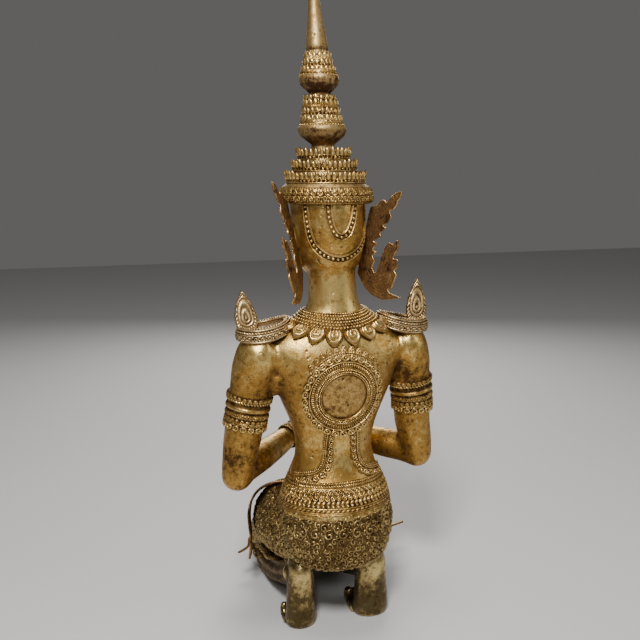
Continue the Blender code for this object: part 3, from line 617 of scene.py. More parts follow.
def set_relief(mesh: bpy.types.Mesh, values: Array) -> None:
    """Writes how far each point stands out of the hollows, from 0 to 1."""
    found = mesh.attributes.get(RELIEF) or mesh.attributes.new(RELIEF, "FLOAT", "POINT")
    found.data.foreach_set("value", np.clip(values, 0, 1).astype(np.float32))


def mesh_points(mesh: bpy.types.Mesh, normals: bool = False) -> Array:
    """A mesh's points, or their normals where asked, as rows."""
    got = np.empty(len(mesh.vertices) * 3, np.float32)
    if normals:
        mesh.vertex_normals.foreach_get("vector", got)
    else:
        mesh.vertices.foreach_get("co", got)
    return got.reshape(-1, 3).astype(float)


def put_points(mesh: bpy.types.Mesh, points: Array) -> None:
    """Writes a mesh's points, in metres."""
    mesh.vertices.foreach_set("co", points.astype(np.float32).ravel())


def inside_box(points: Array) -> Array:
    """Points in metres, kept inside the solids' box."""
    return np.clip(points, np.array(CAD_BOX[0]), np.array(CAD_BOX[1]))


def remelt(item: bpy.types.Object, voxel: float) -> None:
    """Has an object's shells melted into one skin on a grid of so many millimetres."""
    remesh = item.modifiers.new("melt", "REMESH")
    remesh.mode = "VOXEL"
    remesh.voxel_size = voxel * MM


def baked(item: bpy.types.Object) -> bpy.types.Mesh:
    """A new mesh of an object as its modifiers leave it, its attributes kept."""
    bpy.context.view_layer.update()
    graph = bpy.context.evaluated_depsgraph_get()
    shaped = item.evaluated_get(graph)
    return bpy.data.meshes.new_from_object(shaped, preserve_all_data_layers=True, depsgraph=graph)


def melted(bodies: Shell, voxel: float, passes: int) -> bpy.types.Object:
    """Melts overlapping bodies into one skin and softens it.

    Args:
        bodies: closed bodies that overlap.
        voxel: the new skin's grid, in millimetres.
        passes: rounds of smoothing.

    Returns:
        The object with one skin.
    """
    rough = bodies.cast()
    remelt(rough, voxel)
    smooth = rough.modifiers.new("soften", "SMOOTH")
    smooth.factor = 0.5
    smooth.iterations = passes
    mesh = baked(rough)
    bpy.data.objects.remove(rough)
    return linked(bodies.name, mesh)


def thinned(item: bpy.types.Object, share: float) -> None:
    """Collapses a piece's mesh to a share of its triangles and keeps it inside the solids' box."""
    thin = item.modifiers.new("thin", "DECIMATE")
    thin.ratio = share
    mesh = baked(item)
    item.modifiers.clear()
    old, item.data = item.data, mesh
    bpy.data.meshes.remove(old)
    mesh.name = item.name
    put_points(mesh, inside_box(mesh_points(mesh)))
    mesh.update()


def absorb(shell: Shell, item: bpy.types.Object) -> None:
    """Moves an object's skin of quads into a shell and removes the object."""
    corners = np.empty(len(item.data.loops), np.int32)
    item.data.loops.foreach_get("vertex_index", corners)
    points = mesh_points(item.data) / MM - BASE_SHIFT
    shell.add(points, FLAT_RELIEF, corners.reshape(-1, 4), np.zeros((0, 3), int))
    bpy.data.objects.remove(item)


def cavity_relief(mesh: bpy.types.Mesh, level: float, depth: float) -> None:
    """Writes relief from the skin's own bending: low where its neighbours stand higher.

    The bend is the mean of the neighbours' offsets along the normal, averaged over some rounds.

    Args:
        mesh: the skin.
        level: the relief of flat skin.
        depth: how strongly a hollow lowers it.
    """
    edges = np.empty(len(mesh.edges) * 2, np.int32)
    mesh.edges.foreach_get("vertices", edges)
    one, two = edges.reshape(-1, 2).T
    spots, normals = mesh_points(mesh), mesh_points(mesh, normals=True)
    total = len(spots)
    degree = np.bincount(one, minlength=total) + np.bincount(two, minlength=total)
    gap = spots[two] - spots[one]
    ahead, behind = (gap * normals[one]).sum(1), (gap * normals[two]).sum(1)
    bend = np.bincount(one, ahead, total) - np.bincount(two, behind, total)
    bend = bend / np.maximum(degree, 1) / MM
    for _ in range(BEND_ROUNDS):
        shared = np.bincount(one, bend[two], total) + np.bincount(two, bend[one], total)
        bend = 0.5 * bend + 0.5 * shared / np.maximum(degree, 1)
    set_relief(mesh, level - depth * bend)


def light_and_wear_patches(mesh: bpy.types.Mesh, places: Sequence[Station]) -> None:
    """Raises or lowers the relief round places on both sides by change * exp(-(distance / reach)^2), painting
    highlights and shade as well as wear.

    Args:
        mesh: the skin.
        places: rows of x, y, z, reach and change.
    """
    spots = mesh_points(mesh) / MM - BASE_SHIFT
    held = np.empty(len(spots), np.float32)
    mesh.attributes[RELIEF].data.foreach_get("value", held)
    for x, y, z, reach, change in places:
        for side in (1, -1) if x else (1,):
            away = ((spots - (side * x, y, z)) ** 2).sum(1)
            held = held + change * np.exp(-away / reach**2)
    set_relief(mesh, held)


def scattered(spots: Array, spacing: float, taken: Array, rng: np.random.Generator,
              rounds: int = 60, batch_size: int = 500) -> Array:
    """Picks points so that no two stand nearer than the spacing, batch by batch.

    Args:
        spots: the points to pick from.
        spacing: the least distance.
        taken: points that also keep the distance.
        rng: the stream of random numbers.
        rounds: how many batches are tried.
        batch_size: how many points a batch tries.

    Returns:
        The numbers of the picked points.
    """
    kept = np.zeros(0, int)
    for _ in range(rounds):
        batch = rng.integers(0, len(spots), batch_size)
        here = spots[batch]
        others = np.vstack([taken, spots[kept]])
        if len(others):
            far = np.min(((here[:, None] - others[None]) ** 2).sum(2), axis=1) > spacing**2
            batch, here = batch[far], here[far]
        near = ((here[:, None] - here[None]) ** 2).sum(2) < spacing**2
        kept = np.concatenate([kept, batch[~np.triu(near, 1).any(0)]])
    return kept


class Value:
    """A number on a node's output; arithmetic on it adds Math nodes."""

    def __init__(self, graph: Graph, socket: bpy.types.NodeSocket) -> None:
        """Wraps one socket of a graph."""
        self.graph = graph
        self.socket = socket

    def _math(self, operation: str, first: Value | float, second: Value | float) -> Value:
        """Adds a Math node over two numbers."""
        return self.graph.value("ShaderNodeMath", {"operation": operation}, {0: first, 1: second})

    def __add__(self, other: Value | float) -> Value:
        """self + other."""
        return self._math("ADD", self, other)

    def __sub__(self, other: Value | float) -> Value:
        """self - other."""
        return self._math("SUBTRACT", self, other)

    def __rsub__(self, other: float) -> Value:
        """other - self."""
        return self._math("SUBTRACT", other, self)

    def __mul__(self, other: Value | float) -> Value:
        """self * other."""
        return self._math("MULTIPLY", self, other)

    __radd__ = __add__
    __rmul__ = __mul__

    def step(self, low: float, high: float) -> Value:
        """0 below low, 1 above high and a straight run between; low may be the larger."""
        limits = {"Value": self, "From Min": low, "From Max": high}
        return self.graph.value("ShaderNodeMapRange", {"clamp": True}, limits)


class Graph:
    """The node tree of one material."""

    def __init__(self, name: str) -> None:
        """Makes a material that holds only a Principled shader and its output."""
        self.material = bpy.data.materials.new(name)
        self.material.use_nodes = True
        self.tree = self.material.node_tree
        self.tree.nodes.clear()
        self.shader = self.tree.nodes.new("ShaderNodeBsdfPrincipled")
        output = self.tree.nodes.new("ShaderNodeOutputMaterial")
        self.tree.links.new(self.shader.outputs[0], output.inputs[0])
        self.place = self.node("ShaderNodeTexCoord", {}, {}).outputs["Object"]

    def node(self, kind: str, settings: dict[str, object], inputs: dict[int | str, object]) -> bpy.types.Node:
        """Adds a node.

        Args:
            kind: the node's type.
            settings: its own options, set first; a ramp's stops go under "stops".
            inputs: values or links for its sockets, by name or number.

        Returns:
            The node.
        """
        made = self.tree.nodes.new(kind)
        for key, setting in settings.items():
            if key == "stops":
                self._stops(made, setting)
            else:
                setattr(made, key, setting)
        self._feed(made, inputs)
        return made

    def _feed(self, node: bpy.types.Node, inputs: dict[int | str, object]) -> None:
        """Gives a node's sockets their values or links."""
        for key, given in inputs.items():
            given = given.socket if isinstance(given, Value) else given
            if isinstance(given, bpy.types.NodeSocket):
                self.tree.links.new(given, node.inputs[key])
            else:
                node.inputs[key].default_value = given

    @staticmethod
    def _stops(node: bpy.types.Node, stops: Sequence[tuple[float, Colour]]) -> None:
        """Sets a colour ramp's stops."""
        held = node.color_ramp.elements
        while len(held) < len(stops):
            held.new(0.5)
        for element, (at, colour) in zip(held, stops):
            element.position = at
            element.color = (*colour, 1.0)

    def value(self, kind: str, settings: dict[str, object], inputs: dict[int | str, object]) -> Value:
        """Adds a node and wraps its first output."""
        return Value(self, self.node(kind, settings, inputs).outputs[0])

    def noise(self, scale: float, detail: float = 3.0, distortion: float = 0.0) -> Value:
        """Cloudy noise over Object coordinates, its scale in cycles a metre."""
        inputs = {"Vector": self.place, "Scale": scale, "Detail": detail, "Distortion": distortion}
        return self.value("ShaderNodeTexNoise", {}, inputs)

    def cells(self, scale: float) -> Value:
        """The distance from scattered points."""
        return self.value("ShaderNodeTexVoronoi", {"feature": "F1"}, {"Vector": self.place, "Scale": scale})

    def mix(self, factor: Value | float, one: object, two: object) -> bpy.types.NodeSocket:
        """A mix of two colours."""
        one, two = ((*c, 1.0) if isinstance(c, tuple) else c for c in (one, two))
        node = self.node("ShaderNodeMix", {"data_type": "RGBA"}, {0: factor, 6: one, 7: two})
        return node.outputs[2]

    def finish(self, inputs: dict[str, object]) -> bpy.types.Material:
        """Sets the shader's sockets and gives the material."""
        self._feed(self.shader, inputs)
        return self.material


BROAD_CLOUDS = (17, 3, 0.6)
SMALL_CLOUDS = (55, 5, 0.8)
MOTTLING = (230, 5, 0.4)
GRAIN = (1100, 3)
VERDIGRIS = (38, 4)
PITTED = (90, 2)
PIT_SCALE = 210
PIT_COLOUR: Colour = (0.05, 0.03, 0.015)
VERDIGRIS_COLOUR: Colour = (0.16, 0.17, 0.11)
BODY_WEAR = (-0.02, 0.54)
BRIGHT_WEAR = (0.62, 1.08)
RUBBED_WEAR = (0.15, 0.8)
STAIN_EDGES = (0.46, 0.64)
PITTED_EDGES = (0.5, 0.62)
PIT_EDGES = (0.34, 0.16)
VERDIGRIS_EDGES = (0.66, 0.74)
VERDIGRIS_SHARE = 0.3
BUMP_DISTANCE = 0.0012


@dataclass(frozen=True)
class Gilding:
    """Old gilding on cast bronze: rubbed gold on what stands out, brown in what lies deep."""

    name: str
    bright: Colour
    body: Colour
    deep: Colour
    stain: Colour
    gloss: float = 0.3
    dull: float = 0.62
    stained: float = 0.5
    pits: float = 0.5
    grain: float = 0.35
    metal: float = 0.92
    vary: float = 1.0

    def material(self) -> bpy.types.Material:
        """Builds the finish from its relief attribute, cloudy stains, mottling, grain and pits."""
        graph = Graph(self.name)
        relief = graph.value("ShaderNodeAttribute", {"attribute_name": RELIEF}, {})
        relief = Value(graph, relief.socket.node.outputs["Fac"])
        broad, cloud = graph.noise(*BROAD_CLOUDS), graph.noise(*SMALL_CLOUDS)
        mottle, grain = graph.noise(*MOTTLING), graph.noise(*GRAIN)
        blotch = 1.1 * (mottle - 0.5) + 0.7 * (grain - 0.5) + 0.9 * (cloud - 0.5) + 0.7 * (broad - 0.5)
        worn = relief + self.vary * blotch
        gold = graph.mix(worn.step(*BODY_WEAR), self.deep, self.body)
        gold = graph.mix(worn.step(*BRIGHT_WEAR), gold, self.bright)
        stain = (broad * 0.55 + cloud * 0.45 + 0.25 * (mottle - 0.5)).step(*STAIN_EDGES) * self.stained
        gold = graph.mix(stain, gold, self.stain)
        dots = graph.cells(PIT_SCALE)
        rare = graph.noise(*PITTED).step(*PITTED_EDGES)
        pit = dots.step(*PIT_EDGES) * rare * self.pits
        gold = graph.mix(pit, gold, PIT_COLOUR)
        verdigris = (graph.noise(*VERDIGRIS) + 0.3 * (grain - 0.5)).step(*VERDIGRIS_EDGES) * VERDIGRIS_SHARE
        gold = graph.mix(verdigris, gold, VERDIGRIS_COLOUR)
        rubbed = worn.step(*RUBBED_WEAR)
        rough = self.gloss + (self.dull - self.gloss) * (1 - rubbed) + 0.16 * (mottle - 0.35)
        height = 0.45 * mottle + 0.2 * grain - 0.9 * pit + 0.25 * cloud
        uneven = {"Strength": self.grain, "Distance": BUMP_DISTANCE, "Height": height}
        bump = graph.node("ShaderNodeBump", {}, uneven)
        return graph.finish({
            "Base Color": gold,
            "Roughness": rough + 0.25 * stain + 0.2 * pit,
            "Metallic": self.metal - 0.35 * verdigris - 0.2 * pit,
            "Normal": bump.outputs[0],
        })


GILT_SKIN = Gilding(
    "gilt_skin", (1.0, 0.73, 0.25), (0.47, 0.26, 0.055), (0.075, 0.034, 0.011), (0.145, 0.062, 0.018),
    gloss=0.26, dull=0.60, stained=0.55, pits=0.8, grain=0.45, vary=1.3,
)
GILT_WORK = Gilding(
    "gilt_work", (0.96, 0.69, 0.27), (0.36, 0.205, 0.052), (0.035, 0.017, 0.006), (0.15, 0.073, 0.024),
    gloss=0.24, dull=0.68, stained=0.4, pits=0.3,
)
CLOTH_WORK = Gilding(
    "gilt_cloth", (0.86, 0.64, 0.27), (0.205, 0.125, 0.04), (0.025, 0.013, 0.006), (0.095, 0.047, 0.018),
    gloss=0.27, dull=0.7, stained=0.36, pits=0.3, vary=0.95,
)
DISC_GILT = Gilding(
    "matt_disc", (0.90, 0.62, 0.24), (0.45, 0.275, 0.08), (0.12, 0.06, 0.02), (0.17, 0.085, 0.026),
    gloss=0.40, dull=0.68, stained=0.7, pits=1.0, grain=0.6, metal=0.85, vary=1.9,
)
PALE_GILT = Gilding(
    "pale_gilt", (0.96, 0.75, 0.41), (0.38, 0.245, 0.10), (0.04, 0.021, 0.01), (0.17, 0.09, 0.036),
    gloss=0.28, dull=0.68, stained=0.45,
)
SPIRE_GILT = Gilding(
    "spire_gilt", (0.98, 0.80, 0.42), (0.47, 0.315, 0.12), (0.075, 0.035, 0.016), (0.16, 0.075, 0.026),
    gloss=0.3, dull=0.62, stained=0.6, pits=0.7, grain=0.45, vary=1.5,
)
BROWN_GILT = Gilding(
    "brown_gilt", (0.78, 0.52, 0.2), (0.27, 0.145, 0.055), (0.05, 0.022, 0.011), (0.085, 0.036, 0.017),
    gloss=0.3, dull=0.68, stained=0.6, grain=0.5, vary=1.6,
)
# The feet's bronze is dark partly for patina and partly as painted shade on the low, downward-facing feet.
SHADED_FOOT_BRONZE = Gilding(
    "shaded_foot_bronze", (0.72, 0.54, 0.22), (0.115, 0.08, 0.03), (0.025, 0.015, 0.008), (0.06, 0.028, 0.012),
    gloss=0.22, dull=0.6, stained=0.34, pits=0.5, vary=1.0,
)


class Finishes:
    """The materials, each made once."""

    def __init__(self) -> None:
        """Starts with none made."""
        self.made: dict[str, bpy.types.Material] = {}

    def wear(self, item: bpy.types.Object, finish: Gilding, slot: str, replaces: Sequence[str] = ()) -> None:
        """Finishes a piece, puts it on the body and reports it.

        Args:
            item: the piece.
            finish: its gilding.
            slot: not used.
            replaces: solids that it stands for.
        """
        if finish.name not in self.made:
            self.made[finish.name] = finish.material()
        thinned(item, KEPT_SHARE)
        item.data.materials.clear()
        item.data.materials.append(self.made[finish.name])
        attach(item, BODY)
        if replaces:
            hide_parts(*replaces)
        LOG.info("%s: %d faces", item.name, len(item.data.polygons))


GILT, WORN = "gilt_bronze", "worn_gilt"

TORSO: tuple[Station, ...] = (
    (66, 35, 27, 12), (72, 45.5, 37, 9), (84, 52, 44.5, 5), (98, 54.3, 47.5, 3), (115, 53.6, 45, 2),
    (130, 49.8, 39, 1.5), (142, 45.3, 33.5, 1), (150, 42, 30, 0), (162, 38, 27, -1), (172, 36.5, 26, -2),
    (185, 37.5, 27, -2), (200, 41.8, 29, -2), (215, 48, 31.5, -2), (230, 54, 33.5, -1), (245, 59, 34, 0),
    (258, 64, 32, 1), (270, 64, 28, 2), (280, 57, 24.5, 2), (290, 43, 22.5, 1), (298, 30.5, 22.5, 0),
    (306, 24, 22, -1), (318, 21.8, 21.2, -1), (335, 21.5, 21.5, -1), (352, 23, 23, -2),
)
HEAD: tuple[Station, ...] = (
    (328.5, 9, 11, -15), (331, 16.5, 18.5, -12.5), (336, 22.5, 25.5, -9.5), (343, 26.5, 30.5, -6.5),
    (352, 29.3, 33.5, -4), (362, 31, 35, -3), (374, 31.8, 36, -2.5), (386, 32, 36, -2), (397, 32, 36, -2),
)
UPPER_ARM: tuple[Station, ...] = (
    (60, 2, 272, 15, 16), (68, 1, 268, 19.5, 20), (74, -1, 252, 19.8, 20), (76.8, -4, 232, 19, 19),
    (80.3, -5, 210, 17.8, 17.8), (82.8, -5, 188, 17.2, 17.2), (86.5, -4, 168, 15.4, 15.6),
    (88.3, -5, 153, 14.4, 14.8),
)
FOREARM: tuple[Station, ...] = (
    (88.3, -4, 153.4, 14.3, 14.3), (80, -17, 155.3, 15, 15), (60, -35, 157.2, 14.2, 14.2),
    (38, -53, 161.6, 12, 12), (20, -67, 167, 9.6, 9.6), (11, -74, 172, 8.6, 8.6),
)
ARM_SWING = 2.4
ELBOW_DROP = 1.6
SWING_TOP = 218
SWING_SPAN = 30
SWING_INNER = 20
SWING_WIDTH = 60
THIGH: tuple[Station, ...] = (
    (27, 2, 97, 30, 34), (32, -34, 89, 34, 38.5), (33, -66, 77.5, 31, 34), (33.5, -98, 57, 24.5, 27),
    (34.5, -122, 36, 21.5, 23.5), (34.5, -134, 23, 18, 20),
)


def swung(stations: Sequence[Station], side: int) -> list[Station]:
    """An arm's stations on one side, moved by a swing that grows downwards and away from the hands."""
    placed = []
    for x, y, z, half_width, half_depth in stations:
        down = min(max((SWING_TOP - z) / SWING_SPAN, 0.0), 1.0)
        share = down * down * (3 - 2 * down) * min(max((x - SWING_INNER) / SWING_WIDTH, 0.0), 1.0)
        x, z = side * x + ARM_SWING * share, z - side * ELBOW_DROP * share
        placed.append((x, y, z, half_width, half_depth))
    return placed


def elbow(side: int) -> list[Station]:
    """The stations of a round knob where an arm turns."""
    x, y, z, half_width, half_depth = swung(UPPER_ARM, side)[-1]
    knob = []
    for turn in np.linspace(-1.3, 1.3, 7):
        level, share = math.sin(turn), math.cos(turn)
        knob.append((x, y, z + half_width * level, half_width * share, half_depth * share))
    return knob


@dataclass
class Flesh:
    """The bare body: trunk, arms, hands, head and face, and below the cloth the shins and feet."""

    hand: tuple[Station, ...] = (
        (10.5, -73, 166, 8.4, 9), (7.6, -77, 176, 7.8, 11.5), (6.4, -79, 189, 6.7, 13.8),
        (5.6, -79, 203, 6, 13), (5, -78.5, 211, 5, 11.5),
    )
    thumb: tuple[Station, ...] = ((5.5, -68, 180, 3.6, 4), (4.6, -63.5, 190, 3.6, 3.6), (3.6, -62, 203, 3, 3))
    fingers: tuple[tuple[float, float], ...] = ((-89.6, 226), (-83, 236.5), (-76, 239), (-69.4, 230))
    finger_radius: float = 3.5
    shin: tuple[Station, ...] = (
        (34.5, -132, 17.4, 16.5, 18), (34.5, -104, 18.8, 17.2, 19.6), (34, -64, 26.5, 16.8, 20),
        (33.5, -30, 37, 14.5, 16), (33, -4, 50, 11.5, 13),
    )
    ear: tuple[Station, ...] = (
        (32, -3, 374, 3, 5.4), (33, -2, 362, 3.2, 6), (31, -3, 350, 2.6, 4.2), (28.6, -3, 339, 2.4, 3.6),
    )
    armpit: tuple[Station, ...] = ((55.5, 2, 246, 9, 15), (56.5, 1.5, 236, 7.6, 12), (57.5, 1, 227.5, 4.6, 8))
    ankle: tuple[Station, ...] = ((42.5, 1, 60, 4.5, 4.5), (44, 2.5, 52.5, 7.4, 7), (43.5, 3.5, 45, 5.4, 5.4))
    foot_out: tuple[float, float] = (2.4, 1.8)
    foot_wide: tuple[float, float] = (0.92, 1.09)
    foot: tuple[Station, ...] = (
        (33, -3, 72, 9, 8), (33, 2, 64.5, 11.6, 11), (33, 5.8, 56.5, 13.2, 13.2), (33, 7, 48, 13.9, 12.9),
        (33, 7, 34, 14.4, 11.6), (33, 7.2, 18, 15.4, 12), (33, 6.6, 8, 15.8, 12.4), (33, 5.6, 2.5, 15, 11.8),
    )
    toe_reach: tuple[float, ...] = (21.0, 20.0, 18.5, 17.0, 15.0)
    toe_radius: tuple[float, ...] = (5.0, 4.1, 3.9, 3.7, 3.6)
    toe_spread: float = 6.6
    toe_root: float = 4.0
    toe_rise: float = 14.5
    # Places of x, y, z, reach and change on the skin's relief: raised relief paints highlights on the neck,
    # shoulders and lower back; lowered relief paints shade, with some patina, in the armpits, on the sides of
    # the arms and at the elbows.
    wear: tuple[Station, ...] = (
        (0, 22, 303, 27, 0.9), (62, 20, 270, 16, 0.5), (0, 34, 262, 20, 0.1), (57, 20, 238, 20, -0.38),
        (60, 12, 215, 20, -0.4), (78, 14, 238, 17, -0.2), (95, -4, 236, 14, -0.25), (86, -2, 158, 36, -0.3),
        (0, 30, 176, 22, 0.28),
    )
    # A painted highlight on the heel, and painted shade low on the feet and under the figure ahead of them.
    foot_highlight_and_shade: tuple[Station, ...] = ((35, 19, 51, 14, 0.5), (34, 18, 14, 16, -0.1), (40, -40, 40, 40, -0.35))
    core_voxel: float = 1.9
    skin_voxel: float = 1.15
    foot_voxel: float = 1.05
    palm_y: float = -79.0
    palm_top: float = 200.0
    fold_depth: float = 6.0
    foot_relief: float = 0.5

    def face(self, bodies: Shell) -> None:
        """Adds nose, lips, chin, brows, closed lids and long ears on even, calm proportions."""
        single = (
            ((0, -38, 372, 2.6, 2), (0, -40.5, 363, 3, 2.6), (0, -42, 356.5, 4.4, 3.4)),
            ((0, -31.5, 335.5, 6, 4.6), (0, -31, 331.5, 4, 3)),
        )
        for stations in single:
            bodies.limb(stations, (1, 0, 0), 10, 16, leaning=True)
        lips = (
            ((-7.5, -35.2, 345.8, 1.2, 1), (-2.6, -38.4, 347.3, 1.7, 2.2), (0, -38.9, 346.6, 1.5, 2.3),
             (2.6, -38.4, 347.3, 1.7, 2.2), (7.5, -35.2, 345.8, 1.2, 1)),
            ((-6.4, -34.6, 343.6, 1.2, 1), (0, -37.6, 342.4, 2.4, 2.8), (6.4, -34.6, 343.6, 1.2, 1)),
        )
        for stations in lips:
            bodies.limb(stations, (0, 0, 1), 18, 12, leaning=True)
        paired = (
            ((1.5, -39.2, 371.5, 1.0, 1.6), (9, -38.4, 377.2, 1.1, 1.8), (18, -33.2, 377.4, 1.1, 1.7),
             (25, -25.4, 373.4, 0.8, 1.2)),
            ((5, -36.6, 366.2, 1.6, 1.6), (11.5, -34.6, 367.6, 3.2, 3.5), (18.6, -30.2, 367.6, 1.5, 1.6)),
            ((4.6, -37.3, 364.6, 0.6, 1.3), (11.6, -37.0, 364.0, 0.8, 1.7), (19.4, -31.0, 366.0, 0.6, 1.2)),
            ((0.8, -41.0, 356.2, 1.8, 1.6), (3.6, -39.8, 356.4, 1.9, 2.2)),
        )
        for stations in paired:
            bodies.limb(stations, (0, 0, 1), 16, 12, leaning=True, mirrored=True)
        bodies.limb(self.ear, (1, 0, 0), 16, 16, leaning=True, mirrored=True)

    def upper(self) -> bpy.types.Object:
        """Trunk, neck, head, arms and joined hands as one skin."""
        core = Shell("core")
        core.stack(TORSO[4:], 60, 48)
        for side in (1, -1):
            core.limb(swung(UPPER_ARM, side), (1, 0, 0), 30, 28)
            core.limb(swung(FOREARM, side), (0, 0, 1), 26, 26)
            core.limb(elbow(side), (1, 0, 0), 12, 28)
        core.limb(self.armpit, (1, 0, 0), 12, 16)
        fine = Shell("figure_skin")
        absorb(fine, melted(core, self.core_voxel, 11))
        fine.stack(HEAD, 30, 48)
        self.face(fine)
        fine.limb(self.hand, (1, 0, 0), 20, 20, mirrored=True)
        fine.limb(self.thumb, (1, 0, 0), 12, 14, mirrored=True)
        radius = self.finger_radius
        for y, top in self.fingers:
            root = self.palm_y + (y - self.palm_y + 0.5) * 0.92
            stations = (
                (5.2, root, self.palm_top, radius, radius),
                (4.6, y, self.palm_top + 16, radius, radius * 0.98),
                (3.5, (y + self.palm_y + 2) / 2, top - 4, radius * 0.8, radius * 0.8),
            )
            fine.limb(stations, (1, 0, 0), 14, 12, bulge=0.9, mirrored=True)
        made = melted(fine, self.skin_voxel, 2)
        cavity_relief(made.data, FLAT_RELIEF, self.fold_depth)
        # Paints the highlights and shade listed in wear onto the skin's relief.
        light_and_wear_patches(made.data, self.wear)
        return made

    def feet(self) -> bpy.types.Object:
        """Shins and upright feet on their bent toes."""
        legs = Shell("figure_feet")
        legs.limb(self.shin, (1, 0, 0), 26, 24, mirrored=True)
        legs.limb(self.ankle, (1, 0, 0), 12, 16, mirrored=True)
        for side, out, wide in zip((1, -1), self.foot_out, self.foot_wide):
            sole = [(side * (x + out), y, z, half * wide, depth) for x, y, z, half, depth in self.foot]
            legs.limb(sole, (1, 0, 0), 26, 28)
            middle = (len(self.toe_reach) - 1) / 2
            root, rise = self.toe_root, self.toe_rise
            for k, (reach, r) in enumerate(zip(self.toe_reach, self.toe_radius)):
                x = side * (self.foot[0][0] + out + self.toe_spread * wide * (k - middle))
                tip = r * 0.8
                stations = (
                    (x, root, r, r, r + 1), (x, root - 0.6 * reach, r - 0.6, r, r),
                    (x, root - reach, r + 0.35 * rise, r, r), (x, root - 0.92 * reach, rise - 1, tip, tip),
                )
                legs.limb(stations, (1, 0, 0), 16, 14, bulge=0.8)
        made = melted(legs, self.foot_voxel, 4)
        cavity_relief(made.data, self.foot_relief, self.fold_depth)
        light_and_wear_patches(made.data, self.foot_highlight_and_shade)
        return made

    def build(self, finishes: Finishes) -> None:
        """Makes both skins; the upper one stands for the whole figure's solid."""
        finishes.wear(self.upper(), GILT_SKIN, GILT, ["figure"])
        finishes.wear(self.feet(), SHADED_FOOT_BRONZE, GILT)


@dataclass
class Skirt:
    """The patterned cloth over hips and thighs, chased all over with flame curls."""

    lap: tuple[Station, ...] = (
        (0, -22, 104, 24, 24), (0, -56, 88, 27, 18), (0, -92, 68, 27, 15), (0, -120, 42, 24, 13),
        (0, -126, 26, 20, 10),
    )
    hem: tuple[Station, ...] = (
        (49, -116, 15, 3.2, 4.4), (51.5, -84, 20, 3.2, 5), (49.5, -48, 28, 3, 5), (43.5, -16, 40, 3, 4),
    )
    pleats: tuple[float, ...] = (-0.55, 0.0, 0.55)
    pleat_radius: float = 4.4
    voxel: float = 1.3
    inset: float = 0.75
    curl_spacing: float = 5.2
    curl_size: float = 2.5
    stroke_spacing: float = 2.45
    stroke_size: float = 1.75
    rosette_height: float = 105.0
    rosette_count: int = 26
    rosette_size: float = 3.9
    rosette_ring: tuple[float, float, float] = (54.5, 47.0, 3.0)
    rosette_front: float = -10.0
    hem_height: float = 59.0
    belt_foot: float = 121.0
    seed: int = 7

    def cloth(self) -> bpy.types.Object:
        """The smooth cloth under the pattern, set in by the pattern's height."""
        bodies = Shell("figure_skirt")
        bodies.stack(TORSO[:9], 40, 56)
        bodies.limb(THIGH, (1, 0, 0), 30, 30, mirrored=True)
        bodies.limb(self.lap, (1, 0, 0), 24, 28)
        bodies.limb(self.hem, (1, 0, 0), 24, 12, mirrored=True)
        r = self.pleat_radius
        for turn in self.pleats:
            line = [(x + w * math.cos(turn), y, z + d * math.sin(turn), r, r) for x, y, z, w, d in Flesh.shin]
            bodies.limb(line, (1, 0, 0), 30, 12, mirrored=True)
        made = melted(bodies, self.voxel, 9)
        put_points(made.data, mesh_points(made.data) - mesh_points(made.data, normals=True) * self.inset * MM)
        cavity_relief(made.data, 0.22, 3.0)
        return made

    def chasing(self, cloth: bpy.types.Object) -> Shell:
        """Curls and commas over the cloth: a row of rosettes first, then an even scatter round them."""
        rng = np.random.default_rng(self.seed)
        spots = mesh_points(cloth.data) / MM - BASE_SHIFT
        out = mesh_points(cloth.data, normals=True)
        shell = Shell("figure_skirt_chasing")
        turn = (np.arange(self.rosette_count) + 0.5) * TWO_PI / self.rosette_count
        wide, deep, middle = self.rosette_ring
        level = np.full(len(turn), self.rosette_height)
        wanted = np.stack([wide * np.sin(turn), middle + deep * np.cos(turn), level], 1)
        wanted = wanted[wanted[:, 1] > self.rosette_front]
        row = np.argmin(((wanted[:, None] - spots[None]) ** 2).sum(2), axis=1)
        upright = np.zeros(len(row))
        self._lay(shell, curl_template(1.5, 16), spots[row], out[row], self.rosette_size, upright, rng)
        hem = self.hem_height + 0.45 * np.minimum(spots[:, 1] - self.rosette_front, 0)
        usable = np.flatnonzero((spots[:, 2] > hem) & (spots[:, 2] < self.belt_foot) & (out[:, 2] > -0.93))
        curls = usable[scattered(spots[usable], self.curl_spacing, spots[row], rng)]
        angle = rng.normal(0.35, 0.9, len(curls))
        size = self.curl_size * rng.uniform(0.85, 1.2, len(curls))[:, None]
        self._lay(shell, curl_template(), spots[curls], out[curls], size, angle, rng)
        taken = np.vstack([spots[row], spots[curls]])
        strokes = usable[scattered(spots[usable], self.stroke_spacing, taken, rng, 90)]
        angle = rng.normal(0.5, 0.6, len(strokes))
        self._lay(shell, stroke_template(), spots[strokes], out[strokes], self.stroke_size, angle, rng)
        return shell

    @staticmethod
    def _lay(shell: Shell, shape: Template, spots: Array, out: Array, size: Array | float, angle: Array,
             rng: np.random.Generator) -> None:
        """Lays copies flat on the cloth, turned by their angle, half of them mirrored at random."""
        upward = np.array([0, 0.35, 1.0])
        up = unit(upward - (out @ upward)[:, None] * out)
        right = np.cross(up, out)
        turned = np.cos(angle)[:, None] * right + np.sin(angle)[:, None] * up
        side = np.where(rng.random(len(spots)) < 0.5, -1.0, 1.0)[:, None]
        size = np.broadcast_to(np.asarray(size, float), (len(spots), 1)) * np.ones((1, 3))
        shell.copies(shape, spots, turned * side, np.cross(out, turned), out, size)

    def build(self, finishes: Finishes) -> None:
        """Makes the cloth and its chasing."""
        cloth = self.cloth()
        chasing = self.chasing(cloth)
        finishes.wear(cloth, CLOTH_WORK, GILT)
        finishes.wear(chasing.cast(), CLOTH_WORK, GILT)


def ring_path(girth: float, along: float, count: int) -> Array:
    """A closed path round a surface at one distance along it."""
    a = (np.arange(count) / count - 0.5) * girth
    return np.stack([a, np.full(count, along)], 1)


